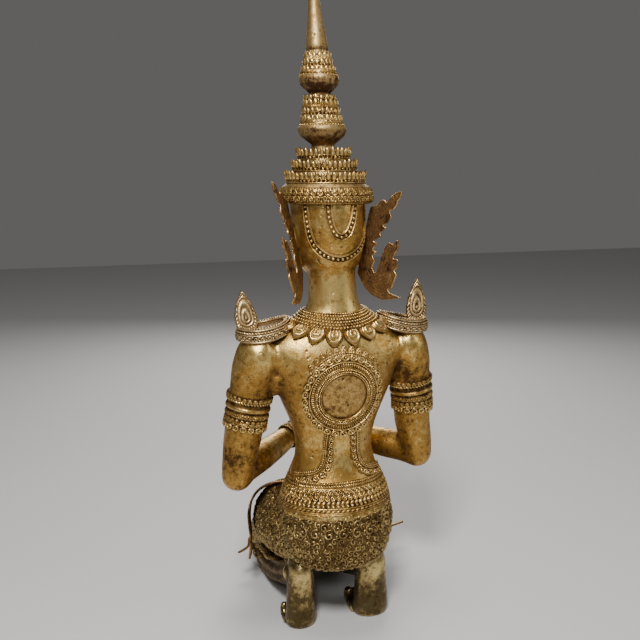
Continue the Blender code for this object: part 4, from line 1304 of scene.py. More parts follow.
@dataclass
class Belt:
    """The jewelled belt: courses of rope, beads and scrolls round the waist."""

    girth: float = 280.0
    middle: float = 135.0
    samples: int = 700
    squeeze: float = 0.95

    def build(self, finishes: Finishes) -> None:
        """Makes the belt's one band of courses."""
        skin = OvalStack(TORSO, 1, self.girth)
        small, wide = even_pitch(self.girth, 2.7), even_pitch(self.girth, 5.4)
        long = even_pitch(self.girth, 4.4)
        courses = Band(-14.2, 13.8, 0.55, (
            Row(Course.ROPE, 12.6, 1.25, 1.4, small, 1.6), Row(Course.ROPE, 9.9, 1.2, 1.3, small, -1.6),
            Row(Course.RAIL, 8.2, 0.5, 0.9), Row(Course.SCROLLS, 5.4, 2.7, 1.5, wide),
            Row(Course.SCROLLS, 0.6, 2.7, 1.5, wide, -1.0, 0.5), Row(Course.DROPS, -3.6, 2.2, 1.4, long, 1.0),
            Row(Course.DOTS, -6.4, 1.3, 1.3, long), Row(Course.RAIL, -8.4, 0.5, 0.9),
            Row(Course.DROPS, -10.3, 1.2, 1.0, long, 2.0), Row(Course.RAIL, -12.2, 0.45, 0.8),
            Row(Course.RAIL, -13.5, 0.45, 0.8),
        ))
        shell = Shell("figure_belt")
        path = ring_path(self.girth, self.middle, self.samples)
        shell.ribbon(skin, path, courses, 62, closed=True, squeeze=self.squeeze)
        finishes.wear(shell.cast(), GILT_WORK, GILT)


@dataclass
class Medallions:
    """A round plate framed in ribs, beads and curls on the back, a smaller one in front, and their straps."""

    height: float = 228.0
    disc: float = 21.0
    ring: float = 27.5
    crest_radius: float = 36.5
    crest_reach: float = 0.95
    front_rise: float = 5.0
    front_size: float = 0.6
    back_route: tuple[Station, ...] = (
        (13.5, 194), (14.5, 184), (15, 173), (16.5, 165), (21, 158.5), (28, 155), (37, 153), (47, 151.5),
    )
    front_route: tuple[Station, ...] = ((13, 220), (17, 204), (23, 182), (31, 162), (42, 145))

    def frame(self, shell: Shell, skin: Surface, height: float, size: float, samples: int) -> None:
        """The ring round the plate: rail, ribs, beads, rails, scrolls and a fringe of curls."""
        radius = self.ring * size
        turn = np.arange(samples) * TWO_PI / samples
        path = np.stack([radius * np.sin(turn), height + radius * np.cos(turn)], 1)
        girth = TWO_PI * radius
        fine, curl = even_pitch(girth, 1.9 * size), even_pitch(girth, 5.7 * size)
        k = size
        band = Band(-6.6 * k, 7.4 * k, 1.7, (
            Row(Course.RAIL, -6.2 * k, 0.5 * k, 1.3), Row(Course.BEADS, -4.6 * k, 0.95 * k, 1.5, fine),
            Row(Course.BEADS, -2.5 * k, 0.95 * k, 1.5, fine, 1.0, 0.5),
            Row(Course.RAIL, -1.1 * k, 0.4 * k, 1.0),
            Row(Course.RIBS, 1.3 * k, 1.5 * k, 1.2, fine), Row(Course.RAIL, 3.9 * k, 0.65 * k, 1.7),
            Row(Course.RINGS, 7.6 * k, 2.8 * k, 1.6, curl),
        ), scallop=3.6 * k, scallop_pitch=curl)
        shell.ribbon(skin, path, band, 50, closed=True)

    def crest(self, shell: Shell, skin: Surface) -> None:
        """The tiara of curls over the frame's top."""
        turn = np.linspace(-self.crest_reach, self.crest_reach, 170)
        radius = self.crest_radius + 1.4 * np.cos(turn * 1.6)
        path = np.stack([radius * np.sin(turn), self.height + radius * np.cos(turn)], 1)
        band = Band(-2.6, 3.4, 1.6, (
            Row(Course.RAIL, -2.0, 0.6, 1.2), Row(Course.BEADS, -0.3, 0.9, 1.1, 2.1),
            Row(Course.RAIL, 1.3, 0.55, 1.2),
            Row(Course.LEAVES, 4.6, 3.0, 1.5, 6.0, 1.0), Row(Course.DOTS, 3.6, 0.9, 1.7, 6.0),
        ), scallop=4.0, scallop_pitch=6.0)
        shell.ribbon(skin, path, band, 30, taper=True)

    def plate(self, skin: Surface, name: str, height: float, size: float) -> Shell:
        """The smooth recessed plate, a shallow dish."""
        shell = Shell(name)
        turn = np.linspace(0, TWO_PI, 96, endpoint=False)
        reach = self.disc * size * np.array([0.02, 0.3, 0.6, 0.8, 0.92, 1.0, 1.03])
        lift = np.array([1.15, 1.1, 1.0, 0.9, 0.8, 0.7, -2.0])
        a = reach[:, None] * np.sin(turn)
        b = height + reach[:, None] * np.cos(turn)
        rings = skin.point(a, b, lift[:, None] + 0 * a)
        shell.tube(rings, np.array([0.6, 0.6, 0.6, 0.58, 0.5, 0.3, 0.1])[:, None] + 0 * a)
        return shell

    def strap(self, shell: Shell, skin: Surface, route: Sequence[Station], side: int, samples: int) -> None:
        """A strap with a bead line on its outer edge and a row of curls on its inner one."""
        path = spline([(side * a, z) for a, z in route], samples)
        band = Band(-3.6, 4.4, 1.1, (
            Row(Course.RAIL, -3.1, 0.55, 1.0), Row(Course.BEADS, -1.6, 0.95, 1.1, 2.2),
            Row(Course.RAIL, 0.0, 0.5, 1.0), Row(Course.SCROLLS, 4.2, 2.7, 1.4, 6.3, float(side)),
        ), scallop=2.9, scallop_pitch=6.3)
        shell.ribbon(skin, path, band, 30, hand=-float(side))

    def build(self, finishes: Finishes) -> None:
        """Makes the two medallions and four straps."""
        back, front = OvalStack(TORSO, 1), OvalStack(TORSO, -1)
        rear = Shell("figure_medallion_back")
        self.frame(rear, back, self.height, 1.0, 600)
        self.crest(rear, back)
        chest = Shell("figure_medallion_front")
        low = self.height + self.front_rise
        self.frame(chest, front, low, self.front_size, 360)
        straps = Shell("figure_straps")
        for side in (1, -1):
            self.strap(straps, back, self.back_route, side, 210)
            self.strap(straps, front, self.front_route, side, 190)
        finishes.wear(rear.cast(), GILT_WORK, GILT)
        finishes.wear(chest.cast(), GILT_WORK, GILT)
        finishes.wear(straps.cast(), GILT_WORK, GILT)
        finishes.wear(self.plate(back, "figure_plate_back", self.height, 1.0).cast(), DISC_GILT, GILT)
        finishes.wear(self.plate(front, "figure_plate_front", low, self.front_size).cast(), DISC_GILT, GILT)


@dataclass
class Collar:
    """The broad collar: courses of beads round the neck and sixteen ridged leaves hanging from it."""

    top: float = 301.5
    back_edge: float = 284.5
    side_edge: float = 290.5
    girth: float = 240.0
    width: float = 26.0
    petals: int = 16
    petal_size: tuple[float, float, float] = (17.5, 15.0, 4.4)
    petal_tilt: float = 0.14
    courses: int = 5
    course_pitch: float = 4.1
    samples: int = 660

    def build(self, finishes: Finishes) -> None:
        """Makes the beaded band and the leaves."""
        skin = OvalStack(TORSO, 1, self.girth)
        count, pitch = self.samples, self.course_pitch
        a = (np.arange(count) / count - 0.5) * self.girth
        turn = TWO_PI * a / self.girth
        edge = self.side_edge + (self.back_edge - self.side_edge) * np.cos(turn) ** 2
        bead = even_pitch(self.girth, 3.3)
        half = self.width / 2
        rows = [Row(Course.ROPE, half - 1.2, 1.2, 1.3, bead)]
        for k in range(self.courses):
            rows.append(Row(Course.BEADS, half - 4.3 - pitch * k, 1.6, 1.7, bead, shift=0.5 * (k % 2)))
            rows.append(Row(Course.RAIL, half - 6.35 - pitch * k, 0.4, 0.7))
        band = Band(-half, half, 1.5, tuple(rows))
        shell = Shell("figure_collar")
        surface = FittedCollar(skin, a, edge, self.top, self.width)
        shell.ribbon(surface, np.stack([a, np.zeros(count)], 1), band, 56, closed=True)
        share = (np.arange(self.petals) + 0.5) / self.petals - 0.5
        spots, right, up, out = surface.frame(share * self.girth, np.full(self.petals, -half + 1.5))
        down = unit(-up + self.petal_tilt * out)
        size = np.tile(np.array(self.petal_size), (self.petals, 1))
        facing = unit(out + self.petal_tilt * up)
        shell.copies(leaf_template(22, 25, 3.2, 0.62), spots + out, -right, down, facing, size)
        finishes.wear(shell.cast(), GILT_WORK, GILT)


class FittedCollar(Surface):
    """The torso's skin between the collar's top and its lower edge, measured across from its middle."""

    def __init__(self, base: OvalStack, a: Array, edge: Array, top: float, width: float) -> None:
        """Takes the lower edge's height at each distance round."""
        self.base, self.a, self.edge, self.top, self.width = base, a, edge, top, width
        self.outward = base.outward

    def skin(self, a: Array, b: Array) -> Array:
        """The base skin at the height that lies b / width of the way from the edge to the top."""
        edge = np.interp(a, self.a, self.edge)
        return self.base.skin(a, edge + (b / self.width + 0.5) * (self.top - edge))


@dataclass
class ArmJewels:
    """An armband high on each arm, rimmed with leaves, and a bracelet at each wrist."""

    left: tuple[float, float] = (0.452, 0.638)
    right: tuple[float, float] = (0.42, 0.63)
    wrist: tuple[float, float] = (0.68, 0.88)
    arm_girth: float = 112.0
    wrist_girth: float = 66.0

    def armband(self, side: int, spread: tuple[float, float]) -> Shell:
        """Leaves, rope, a hollow band, scrolls, beads and a scalloped edge of curls."""
        girth = self.arm_girth
        skin = LimbSkin(swung(UPPER_ARM, side), (1, 0, 0), girth)
        low, high = skin.at(spread[0]), skin.at(spread[1])
        half = (high - low) / 2
        fine, curl, ring = even_pitch(girth, 2.5), even_pitch(girth, 4.6), even_pitch(girth, 6.7)
        band = Band(-half, half - 1.0, 1.2, (
            Row(Course.LEAVES, -half + 2.0, 1.9, 1.5, even_pitch(girth, 4.4), -1.0),
            Row(Course.DROPS, -half + 5.2, 1.4, 1.4, fine, 1.4), Row(Course.RAIL, -0.19 * half, 2.0, 1.3),
            Row(Course.SCROLLS, 0.22 * half, 2.1, 1.4, curl),
            Row(Course.SCROLLS, 0.55 * half, 2.0, 1.4, curl, -1, 0.5),
            Row(Course.RAIL, half - 5.2, 0.5, 1.4), Row(Course.RAIL, half - 3.7, 0.5, 1.5),
            Row(Course.RINGS, half - 0.4, 2.8, 1.6, ring),
        ), scallop=3.6, scallop_pitch=ring)
        shell = Shell("figure_armband_left" if side > 0 else "figure_armband_right")
        shell.ribbon(skin, ring_path(girth, (low + high) / 2, 300), band, 58, closed=True)
        return shell

    def build(self, finishes: Finishes) -> None:
        """Makes both armbands and both bracelets."""
        for side, spread in ((1, self.left), (-1, self.right)):
            finishes.wear(self.armband(side, spread).cast(), GILT_WORK, GILT)
        wrists = Shell("figure_bracelets")
        girth = self.wrist_girth
        pitch = even_pitch(girth, 2.2)
        for side in (1, -1):
            skin = LimbSkin(swung(FOREARM, side), (0, 0, 1), girth)
            low, high = skin.at(self.wrist[0]), skin.at(self.wrist[1])
            half = (high - low) / 2
            band = Band(-half, half, 1.2, (
                Row(Course.ROPE, -half + 1.2, 1.0, 1.1, pitch),
                Row(Course.SCROLLS, -half + 5.2, 2.6, 1.2, 6.0),
                Row(Course.BEADS, half - 4.2, 1.0, 1.1, pitch),
                Row(Course.ROPE, half - 1.2, 1.0, 1.1, pitch),
            ))
            wrists.ribbon(skin, ring_path(girth, (low + high) / 2, 200), band, 34, closed=True)
        finishes.wear(wrists.cast(), GILT_WORK, GILT)


@dataclass
class Harness:
    """Beaded loops that hang from the crown on the back of the head."""

    outer: tuple[Station, ...] = (
        (30.5, 398), (30, 387), (28.1, 372), (22.3, 359.8), (10.6, 351.4), (-2, 349.6), (-13.6, 353.4),
        (-23, 359.4), (-30, 366.5), (-35.2, 375.4), (-38.4, 386), (-39.5, 398),
    )
    inner: tuple[Station, ...] = (
        (9.4, 398), (9.2, 387), (7.7, 378), (4.4, 371.2), (-1.2, 368.8), (-6.8, 371.6), (-10.6, 378),
        (-14, 386.6), (-16, 398),
    )

    def build(self, finishes: Finishes) -> None:
        """Makes both loops, each two rails with a line of beads between."""
        skin = OvalStack(HEAD, 1)
        shell = Shell("figure_harness")
        for route, samples in ((self.outer, 330), (self.inner, 210)):
            rows = (
                Row(Course.RAIL, -2.6, 0.8, 1.2), Row(Course.DOTS, 0.2, 1.35, 1.3, 4.2),
                Row(Course.RAIL, 2.7, 0.5, 0.9), Row(Course.RAIL, -3.7, 0.3, 0.6),
            )
            shell.ribbon(skin, spline(route, samples), Band(-4.0, 3.2, 0.35, rows), 30)
        finishes.wear(shell.cast(), GILT_WORK, GILT)


@dataclass
class Crown:
    """The tiered crown: a chased band, three crests of leaves, two beaded bulbs and a long spire."""

    profile: tuple[Station, ...] = (
        (395.5, 37.5), (397, 40.0), (401, 40.6), (407, 39.6), (410.5, 37.4), (412.5, 35), (413, 34.4),
        (418.2, 33.2), (418.8, 29.4), (422.5, 28.0), (427.8, 26.6), (428.4, 23.4), (432, 22.4), (437.6, 21.4),
        (438.2, 16), (440, 10.8), (446, 10.0), (449, 13.8), (453, 19.2), (458, 21.3), (460.6, 20.8),
        (462.6, 18.4), (463.4, 17.2), (469.4, 16.6), (470, 15.6), (477.6, 15.2), (478.2, 14.2), (486, 12.4),
        (487, 9.6), (488.5, 8.8), (491.5, 12.2), (495.5, 16.2), (500, 17.5), (502.4, 16.8), (504, 14.8),
        (509, 13.0), (509.6, 12.2), (515, 11.8), (515.8, 10.9), (521.5, 9.8), (522.5, 8.4), (525, 9.4),
        (528, 9.3), (531, 9), (548, 6.6), (568, 4.4), (586, 2.6), (597, 1.3),
    )
    spikes: tuple[Station, ...] = (
        (416.6, 46, 7.6, 1.3, 0.28), (426.4, 39, 7.4, 1.3, 0.28), (436.2, 31, 7.6, 1.3, 0.26),
        (465.6, 26, 5.0, 0.9, 0.05), (472.0, 23, 5.0, 0.9, 0.05), (478.4, 19, 5.4, 0.9, 0.05),
        (483.4, 16, 4.0, 0.8, 0.1), (506.4, 21, 4.4, 0.8, 0.05), (511.8, 18, 4.6, 0.8, 0.05),
        (517.2, 15, 4.6, 0.8, 0.08),
    )
    chased: tuple[tuple[float, float, float, bool], ...] = (
        (413.2, 418.0, 3.6, False), (422.9, 427.7, 3.6, False), (432.6, 437.4, 3.6, False),
        (462.8, 468.6, 3.4, True), (468.8, 474.4, 3.3, False), (474.6, 480.2, 3.3, True),
        (480.4, 485.6, 3.0, False), (503.8, 508.6, 3.1, True), (508.8, 514.2, 3.0, False),
        (514.4, 520.6, 2.8, True),
    )
    beads: tuple[tuple[float, int, float], ...] = (
        (462.2, 42, 0.95), (486.0, 22, 1.1), (503.2, 32, 0.9), (521.8, 18, 0.9),
    )
    centre_y: float = -2.0
    tip: float = 600.0
    girth: float = 250.0
    band_middle: float = 403.6
    sides: int = 96
    underside_shade: float = 0.85

    def body(self, skin: Turned) -> Shell:
        """The turned body, closed at its foot and tip, with painted shade where its profile overhangs and
        faces down.
        """
        shell = Shell("crown_body")
        b = np.unique(np.concatenate([np.linspace(0, skin.run[-1], 230), skin.run]))
        a = np.arange(self.sides) * self.girth / self.sides
        rings = skin.skin(*np.meshgrid(a, b))
        tips = lean(np.array([[0, self.centre_y, self.profile[0][0]], [0, self.centre_y, self.tip]], float))
        radius = np.interp(b, skin.run, skin.rows[:, 1])
        height = np.interp(b, skin.run, skin.rows[:, 0])
        outwards, upwards = np.gradient(radius, b), np.gradient(height, b)
        overhang = outwards / np.maximum(np.hypot(outwards, upwards), 1e-6)
        # painted shade: the relief falls where the profile faces down, so the undersides of bulbs and steps
        # come out dark
        relief = 0.5 - self.underside_shade * np.clip(overhang, 0, 1)
        shell.tube(rings, relief[:, None] + 0 * rings[..., 0], tips)
        return shell

    def crests(self, skin: Turned) -> Shell:
        """Upright points, leaves and beads in rings, each tier a rail, a line of beads and free points."""
        shell = Shell("crown_crests")
        spike = leaf_template(7, 5, 0.0, 0.55)
        for height, count, tall, proud, flare in self.spikes:
            self.ring_of(shell, spike, skin, height, count, tall, proud, flare)
        bead = bead_template()
        for height, count, radius in self.beads:
            reach = skin.radius(height) + 0.45 * radius
            facing, right = self.directions(np.arange(count) * TWO_PI / count)
            up = np.tile([0.0, 0.0, 1.0], (count, 1))
            spots = lean(facing * reach + (0, self.centre_y, height))
            shell.copies(bead, spots, right, up, facing, radius)
        self.tiers(shell, skin)
        return shell

    @staticmethod
    def directions(turn: Array) -> tuple[Array, Array]:
        """The level directions outwards and sideways at turns round the axis."""
        level = np.zeros(len(turn))
        facing = np.stack([np.cos(turn), np.sin(turn), level], 1)
        return facing, np.stack([-np.sin(turn), np.cos(turn), level], 1)

    def tiers(self, shell: Shell, skin: Turned) -> None:
        """Adds bands of rails, scrolls and beads round the steps and the two bulbs' upper parts."""
        for low, high, pitch, leaves in self.chased:
            low_at, high_at = skin.at(low), skin.at(high)
            half, middle = (high_at - low_at) / 2, (low_at + high_at) / 2
            curl = even_pitch(self.girth, pitch * self.girth / (TWO_PI * skin.radius((low + high) / 2)))
            rows = [Row(Course.RAIL, half - 0.5, 0.5, 0.9), Row(Course.RAIL, 0.5 - half, 0.5, 0.9)]
            if leaves:
                rows.append(Row(Course.LEAVES, 0.3, half - 0.8, 1.3, curl, 1.0))
            rows.append(Row(Course.SCROLLS, 0.0, half - 0.9, 1.1, curl, 1.0, 0.5))
            path = ring_path(self.girth, middle, 300)
            shell.ribbon(skin, path, Band(-half, half, 0.1, tuple(rows), sink=1.0), 18, closed=True)

    def ring_of(self, shell: Shell, shape: Template, skin: Turned, height: float, count: int, tall: float,
                proud: float, flare: float) -> None:
        """Adds a ring of upright leaves that lean out by their flare."""
        radius = skin.radius(height + 0.4)
        facing, right = self.directions((np.arange(count) + 0.5 * (int(height) % 2)) * TWO_PI / count)
        spots = lean(facing * radius + (0, self.centre_y, height))
        up = unit(np.array([LEAN_SLOPE, 0, 1.0]) + flare * facing)
        rng = np.random.default_rng(count)
        size = np.tile([TWO_PI * radius / count * 1.1, tall, 2.0 * proud], (count, 1))
        size = size * rng.uniform(0.8, 1.15, (count, 3))
        shell.copies(shape, spots, right, up, np.cross(right, up), size)

    def build(self, finishes: Finishes) -> None:
        """Makes the turned body, the chased band and the crests."""
        skin = Turned(self.profile, self.centre_y, self.girth)
        curl, fine = even_pitch(self.girth, 5.8), even_pitch(self.girth, 2.5)
        band = Band(-7.4, 7.2, 0.35, (
            Row(Course.ROPE, -6.8, 0.7, 0.7, fine), Row(Course.SCROLLS, -3.3, 2.8, 1.2, curl),
            Row(Course.SCROLLS, 1.9, 2.8, 1.2, curl, -1.0, 0.5), Row(Course.LEAVES, 5.0, 1.5, 0.9, fine, 1.0),
        ), sink=1.0)
        chased = Shell("crown_band")
        chased.ribbon(skin, ring_path(self.girth, skin.at(self.band_middle), 560), band, 34, closed=True)
        finishes.wear(self.body(skin).cast(), SPIRE_GILT, GILT, ["crown"])
        finishes.wear(chased.cast(), GILT_WORK, GILT)
        finishes.wear(self.crests(skin).cast(), GILT_WORK, GILT)


class DishSkin(Surface):
    """The oval dish: a is the distance round, b that from its middle over the lip and down the wall."""

    girth = 132.0
    levels: tuple[Station, ...] = (
        (0.02, 0.9), (0.3, 0.9), (0.6, 1.2), (0.76, 1.8), (0.84, 2.8), (0.9, 3.3), (0.955, 2.9), (0.985, 1.4),
        (1.0, -1.0), (1.0, -4.5), (0.975, -7.4), (0.95, -8.9), (0.86, -8.9), (0.8, -4.0), (0.5, -2.6),
        (0.02, -2.4),
    )

    def __init__(self, ornament: ShoulderOrnament) -> None:
        """Reads the dish's place and size off the ornament."""
        self.ornament = ornament
        self.rows = spline(self.levels, 120)
        scaled = self.rows * (sum(ornament.half_size) / 2, 1.0)
        self.run = run_along(scaled)
        self.lip = float(self.run[np.argmax(self.rows[:, 1])])

    def skin(self, a: Array, b: Array) -> Array:
        """z = rise + slope x + sheer (x / half)^2 round an oval."""
        share, rise = (np.interp(b, self.run, self.rows[:, k]) for k in (0, 1))
        turn = -TWO_PI * a / self.girth
        wide, deep = self.ornament.half_size
        x, y = wide * share * np.cos(turn), deep * share * np.sin(turn)
        z = rise + self.ornament.slope * x + self.ornament.sheer * (x / wide) ** 2
        return np.stack([x, y, z], -1) + np.array(self.ornament.centre)


@dataclass
class ShoulderOrnament:
    """An oval dish over the shoulder with a roped rim, and a flame standing at its outer end."""

    centre: tuple[float, float, float] = (65.5, 1.5, 287.0)
    half_size: tuple[float, float] = (23.4, 18.5)
    slope: float = -0.16
    sheer: float = 3.0
    foot: tuple[float, float, float] = (79.2, 3.0, 283.5)
    right_stretch: float = 1.1
    edge: tuple[Station, ...] = (
        (0, 6.6), (6, 9.4), (11, 10.7), (16.5, 10.2), (22.5, 8.6), (28, 6.2), (33.5, 3), (36.6, 1.0),
        (37.4, 0.2),
    )
    wall_drop: float = 7.6
    plate_half: float = 1.0
    tear_middle: float = 13.5
    tear_reach: float = 7.6
    tear_pitch: float = 2.9
    notch_pitch: float = 3.4
    lean_out: float = 0.1
    lean_in: float = 0.23

    def dish(self, shell: Shell) -> None:
        """The dish with its roped lip and a wall of rails and scrolls."""
        skin = DishSkin(self)
        turn = np.linspace(0, skin.girth, 120, endpoint=False)
        rings = skin.skin(*np.meshgrid(turn, np.linspace(0, skin.run[-1], 90)))
        shell.tube(rings, GROUND_RELIEF)
        curl, fine = even_pitch(skin.girth, 5.2), even_pitch(skin.girth, 2.5)
        lip = Band(-2.6, 2.4, 0.5, (
            Row(Course.RAIL, -2.0, 0.6, 1.0), Row(Course.ROPE, -0.2, 1.1, 1.3, fine),
            Row(Course.RAIL, 1.7, 0.6, 1.0),
        ))
        wall = Band(-4.6, 4.4, 0.5, (
            Row(Course.RAIL, 3.7, 0.65, 1.1), Row(Course.SCROLLS, 0.9, 2.2, 1.3, curl),
            Row(Course.RAIL, -1.8, 0.6, 1.1), Row(Course.ROPE, -3.7, 0.9, 1.1, fine),
        ))
        shell.ribbon(skin, ring_path(skin.girth, skin.lip, 300), lip, 18, closed=True)
        shell.ribbon(skin, ring_path(skin.girth, skin.lip + self.wall_drop, 300), wall, 32, closed=True)

    def flame(self, shell: Shell, stretch: float) -> None:
        """The flame: a pointed plate with teardrop ridges inside one another on both faces."""
        edge = np.array(self.edge)
        up = np.linspace(0, edge[-1, 0], 74)[:, None]
        u = np.linspace(-1, 1, 41)[None]
        notches = arch(cell(up, self.notch_pitch), self.notch_pitch / 2)
        wide = np.interp(up, edge[:, 0], edge[:, 1]) * (1 - 0.07 * notches)
        across = u * wide
        above = up - self.tear_middle
        tear = np.hypot(across, above * np.where(above > 0, 0.42, 0.95))
        inside = (1 - np.abs(u)) * wide
        ridge = 0.5 + 0.5 * np.cos(TWO_PI * tear / self.tear_pitch)
        frill = 0.5 + 0.5 * np.cos(up * 1.9 + 2.2 * np.abs(across))
        pattern = np.where(tear < self.tear_reach, ridge, frill)
        height = self.plate_half + 1.1 * np.clip(inside / 0.7, 0, 1) * (0.45 + 0.55 * pattern)
        front = np.stack(np.broadcast_arrays(across, up, height), -1)
        back = np.stack(np.broadcast_arrays(across, up, -height), -1)[:, ::-1]
        local = np.concatenate([front, back], 1) * (1, stretch, 1)
        shade = 0.1 + 0.9 * pattern * np.clip(inside / 0.5, 0.2, 1)
        rings = np.stack([
            self.foot[0] + local[..., 0] + self.lean_out * local[..., 1],
            self.foot[1] + local[..., 2] - self.lean_in * local[..., 1],
            self.foot[2] + local[..., 1],
        ], -1)
        shell.tube(rings, np.concatenate([shade, shade[:, ::-1]], 1))

    def build(self, finishes: Finishes) -> None:
        """Makes the left ornament and its mirror image on the right."""
        for side, name in ((1, "left"), (-1, "right")):
            shell = Shell(f"shoulder_ornament_{name}_chased")
            self.dish(shell)
            self.flame(shell, self.right_stretch if side < 0 else 1.0)
            shell.points = [points * np.array([side, 1, 1]) for points in shell.points]
            finishes.wear(shell.cast(), PALE_GILT, GILT, [f"shoulder_ornament_{name}"])


@dataclass
class CutPlates:
    """The thin serrated plates beside the ears, which keep their solids' own outline."""

    voxel: float = 0.62
    sharp_angle: float = 1.0
    rim_width: float = 0.8
    hollow: float = 0.28
    vein_rate: float = 2.4

    def merged(self, mesh: bpy.types.Mesh) -> Array:
        """Merges a plate's doubles and gives points all along its sharp edges."""
        work = bmesh.new()
        work.from_mesh(mesh)
        bmesh.ops.remove_doubles(work, verts=work.verts, dist=1e-5)
        folds = [edge for edge in work.edges if len(edge.link_faces) == 2]
        sharp = [edge for edge in folds if edge.calc_face_angle() > self.sharp_angle]
        ends = np.array([[list(v.co) for v in edge.verts] for edge in sharp])
        work.to_mesh(mesh)
        work.free()
        share = np.linspace(0, 1, 9)[None, :, None]
        return (ends[:, :1] * (1 - share) + ends[:, 1:] * share).reshape(-1, 3)

    def build(self, finishes: Finishes) -> None:
        """Refines a copy of each plate, hollows its face a little and marks its bright edges."""
        for name in ("ear_flame_left", "ear_flame_right"):
            rough = linked(name + "_rough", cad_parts[name].data.copy())
            rim = self.merged(rough.data)
            remelt(rough, self.voxel)
            mesh = baked(rough)
            bpy.data.objects.remove(rough)
            made = linked(name + "_cut", mesh)
            spots = mesh_points(mesh)
            nearest = [((part[:, None] - rim) ** 2).sum(2).min(1) for part in np.array_split(spots, 24)]
            away = np.sqrt(np.concatenate(nearest)) / MM
            veins = np.cos(away * self.vein_rate)
            hollow = self.hollow * np.clip((away - self.rim_width) / 1.2, 0, 1) * (0.75 + 0.25 * veins)
            put_points(mesh, spots - mesh_points(mesh, normals=True) * hollow[:, None] * MM)
            set_relief(mesh, 0.95 - 0.5 * np.clip((away - 0.2) / 0.8, 0, 1) + 0.16 * veins)
            finishes.wear(made, BROWN_GILT, WORN, [name])


@dataclass
class HipTails:
    """The stiff sash ends that spring from the hips and hang in two curled points."""

    sheet: tuple[Station, ...] = (
        (34, -30, 126, 33, -54), (43, -35, 127.5, 41, -60), (54, -37, 125.5, 50, -66),
        (64, -42, 118, 58, -74), (70, -46, 107, 63, -80), (72.5, -50, 93, 64.5, -84),
        (71.5, -54, 79, 64, -86), (69.5, -58, 65, 63.5, -85), (68.8, -61, 53, 64, -84),
    )
    front_point: tuple[Station, ...] = (
        (68.6, -70, 56, 65, -84), (70.5, -68, 48, 68, -80), (75, -70, 43.5, 73, -79),
        (80, -72, 40.5, 79.5, -76),
    )
    left_point: tuple[Station, ...] = (
        (68.7, -60, 56, 67.5, -70), (68.3, -61.5, 46, 68, -68), (70, -62.5, 37, 70, -65.5),
    )
    right_point: tuple[Station, ...] = (
        (68.7, -60, 57, 67.5, -70), (74, -60, 50, 73, -67), (85, -60, 52.5, 84, -65),
        (97, -61, 54.5, 97, -63.5),
    )
    fall: float = 0.42
    thickness: float = 2.2
    rim_half: float = 0.9
    curl_half: float = 3.4
    curl_pitch: float = 8.5
    curl_least: float = 8.0
    raised: float = 0.45

    def strip(self, shell: Shell, rows: Sequence[Station], side: int, count: int, columns: int) -> None:
        """A bent sheet of even thickness with a ridged rim and curls along it."""
        line = spline(rows, count)
        middle = np.stack([(line[:, 0] + line[:, 3]) / 2, line[:, 2]], 1)
        along = unit(np.gradient(middle, axis=0))
        u = np.linspace(0, 1, columns)[None, :]
        x = line[:, 0:1] + u * (line[:, 3:4] - line[:, 0:1])
        y = line[:, 1:2] + u * (line[:, 4:5] - line[:, 1:2])
        z = line[:, 2:3] - self.fall * u * (line[:, 1:2] - line[:, 4:5])
        run = run_along(middle)[:, None]
        wide = np.abs(line[:, 1:2] - line[:, 4:5])
        reach = np.minimum(u, 1 - u) * wide
        rim = arch(reach - self.rim_half, self.rim_half)
        curls = Row(Course.SCROLLS, 0.0, self.curl_half, 1.0, self.curl_pitch).lift(run, (u - 0.5) * wide)
        raised = self.raised * np.maximum(rim, 0.8 * curls * (wide > self.curl_least))
        half = self.thickness / 2 - 0.3 + raised
        out = np.stack([-along[:, 1], 0 * along[:, 0], along[:, 0]], 1)[:, None]
        spots = np.stack([x, y, z], -1)
        rings = np.concatenate([spots + out * half[..., None], (spots - out * half[..., None])[:, ::-1]], 1)
        shade = 0.35 + 0.65 * raised / self.raised
        shade = np.concatenate([shade, shade[:, ::-1]], 1)
        shell.tube(rings * np.array([side, 1, 1]), shade)

    def build(self, finishes: Finishes) -> None:
        """Makes both sash ends; the right one's back point is bent up."""
        for side, name, point in ((1, "left", self.left_point), (-1, "right", self.right_point)):
            shell = Shell(f"hip_tail_{name}_bent")
            self.strip(shell, self.sheet, side, 150, 34)
            self.strip(shell, self.front_point, side, 40, 12)
            self.strip(shell, point, side, 46, 12)
            finishes.wear(shell.cast(), BROWN_GILT, WORN, [f"hip_tail_{name}"])


@dataclass
class LapPanel:
    """The narrow cloth panel that hangs from the belt over the lap to the ground."""

    stations: tuple[Station, ...] = (
        (0, -27, 146, 12, 3.6), (0, -40, 128, 14, 4), (0, -60, 110.5, 16, 4), (0, -90, 89.5, 17, 4),
        (0, -118, 63, 16, 4), (0, -135, 38, 12.5, 4), (0, -138, 20, 5, 3.4),
    )
    girth: float = 66.0
    rows: int = 330
    columns: int = 132
    bead_inset: float = 3.4
    rail_inset: float = 1.6
    face_start: float = 0.15
    sink: float = 0.5

    def build(self, finishes: Finishes) -> None:
        """Makes the panel with beaded borders and a line of scrolls, as a height over an oval tube."""
        skin = LimbSkin(self.stations, (1, 0, 0), self.girth)
        a, b = np.meshgrid(
            np.arange(self.columns) / self.columns * self.girth, np.linspace(0, skin.run[-1], self.rows)
        )
        across = skin.skin(a, b)[..., 0]
        inset = np.interp(b, skin.run, skin.rows[:, 3]) - np.abs(across)
        carved = (
            Row(Course.SCROLLS, 0.0, 5.4, 0.9, 11.5).lift(b, across),
            Row(Course.BEADS, 0.0, 1.0, 0.8, 2.4).lift(b, self.bead_inset - inset),
            Row(Course.RAIL, 0.0, 0.7, 0.8).lift(b, self.rail_inset - inset),
        )
        outer = np.sin(TWO_PI * a / self.girth) > self.face_start
        rise = np.maximum.reduce(carved) * outer
        shell = Shell("figure_lap_panel")
        shell.tube(skin.point(a, b, rise - self.sink), 0.1 + rise)
        finishes.wear(shell.cast(), CLOTH_WORK, GILT)


AIM = (0.0, 0.0, 0.28)


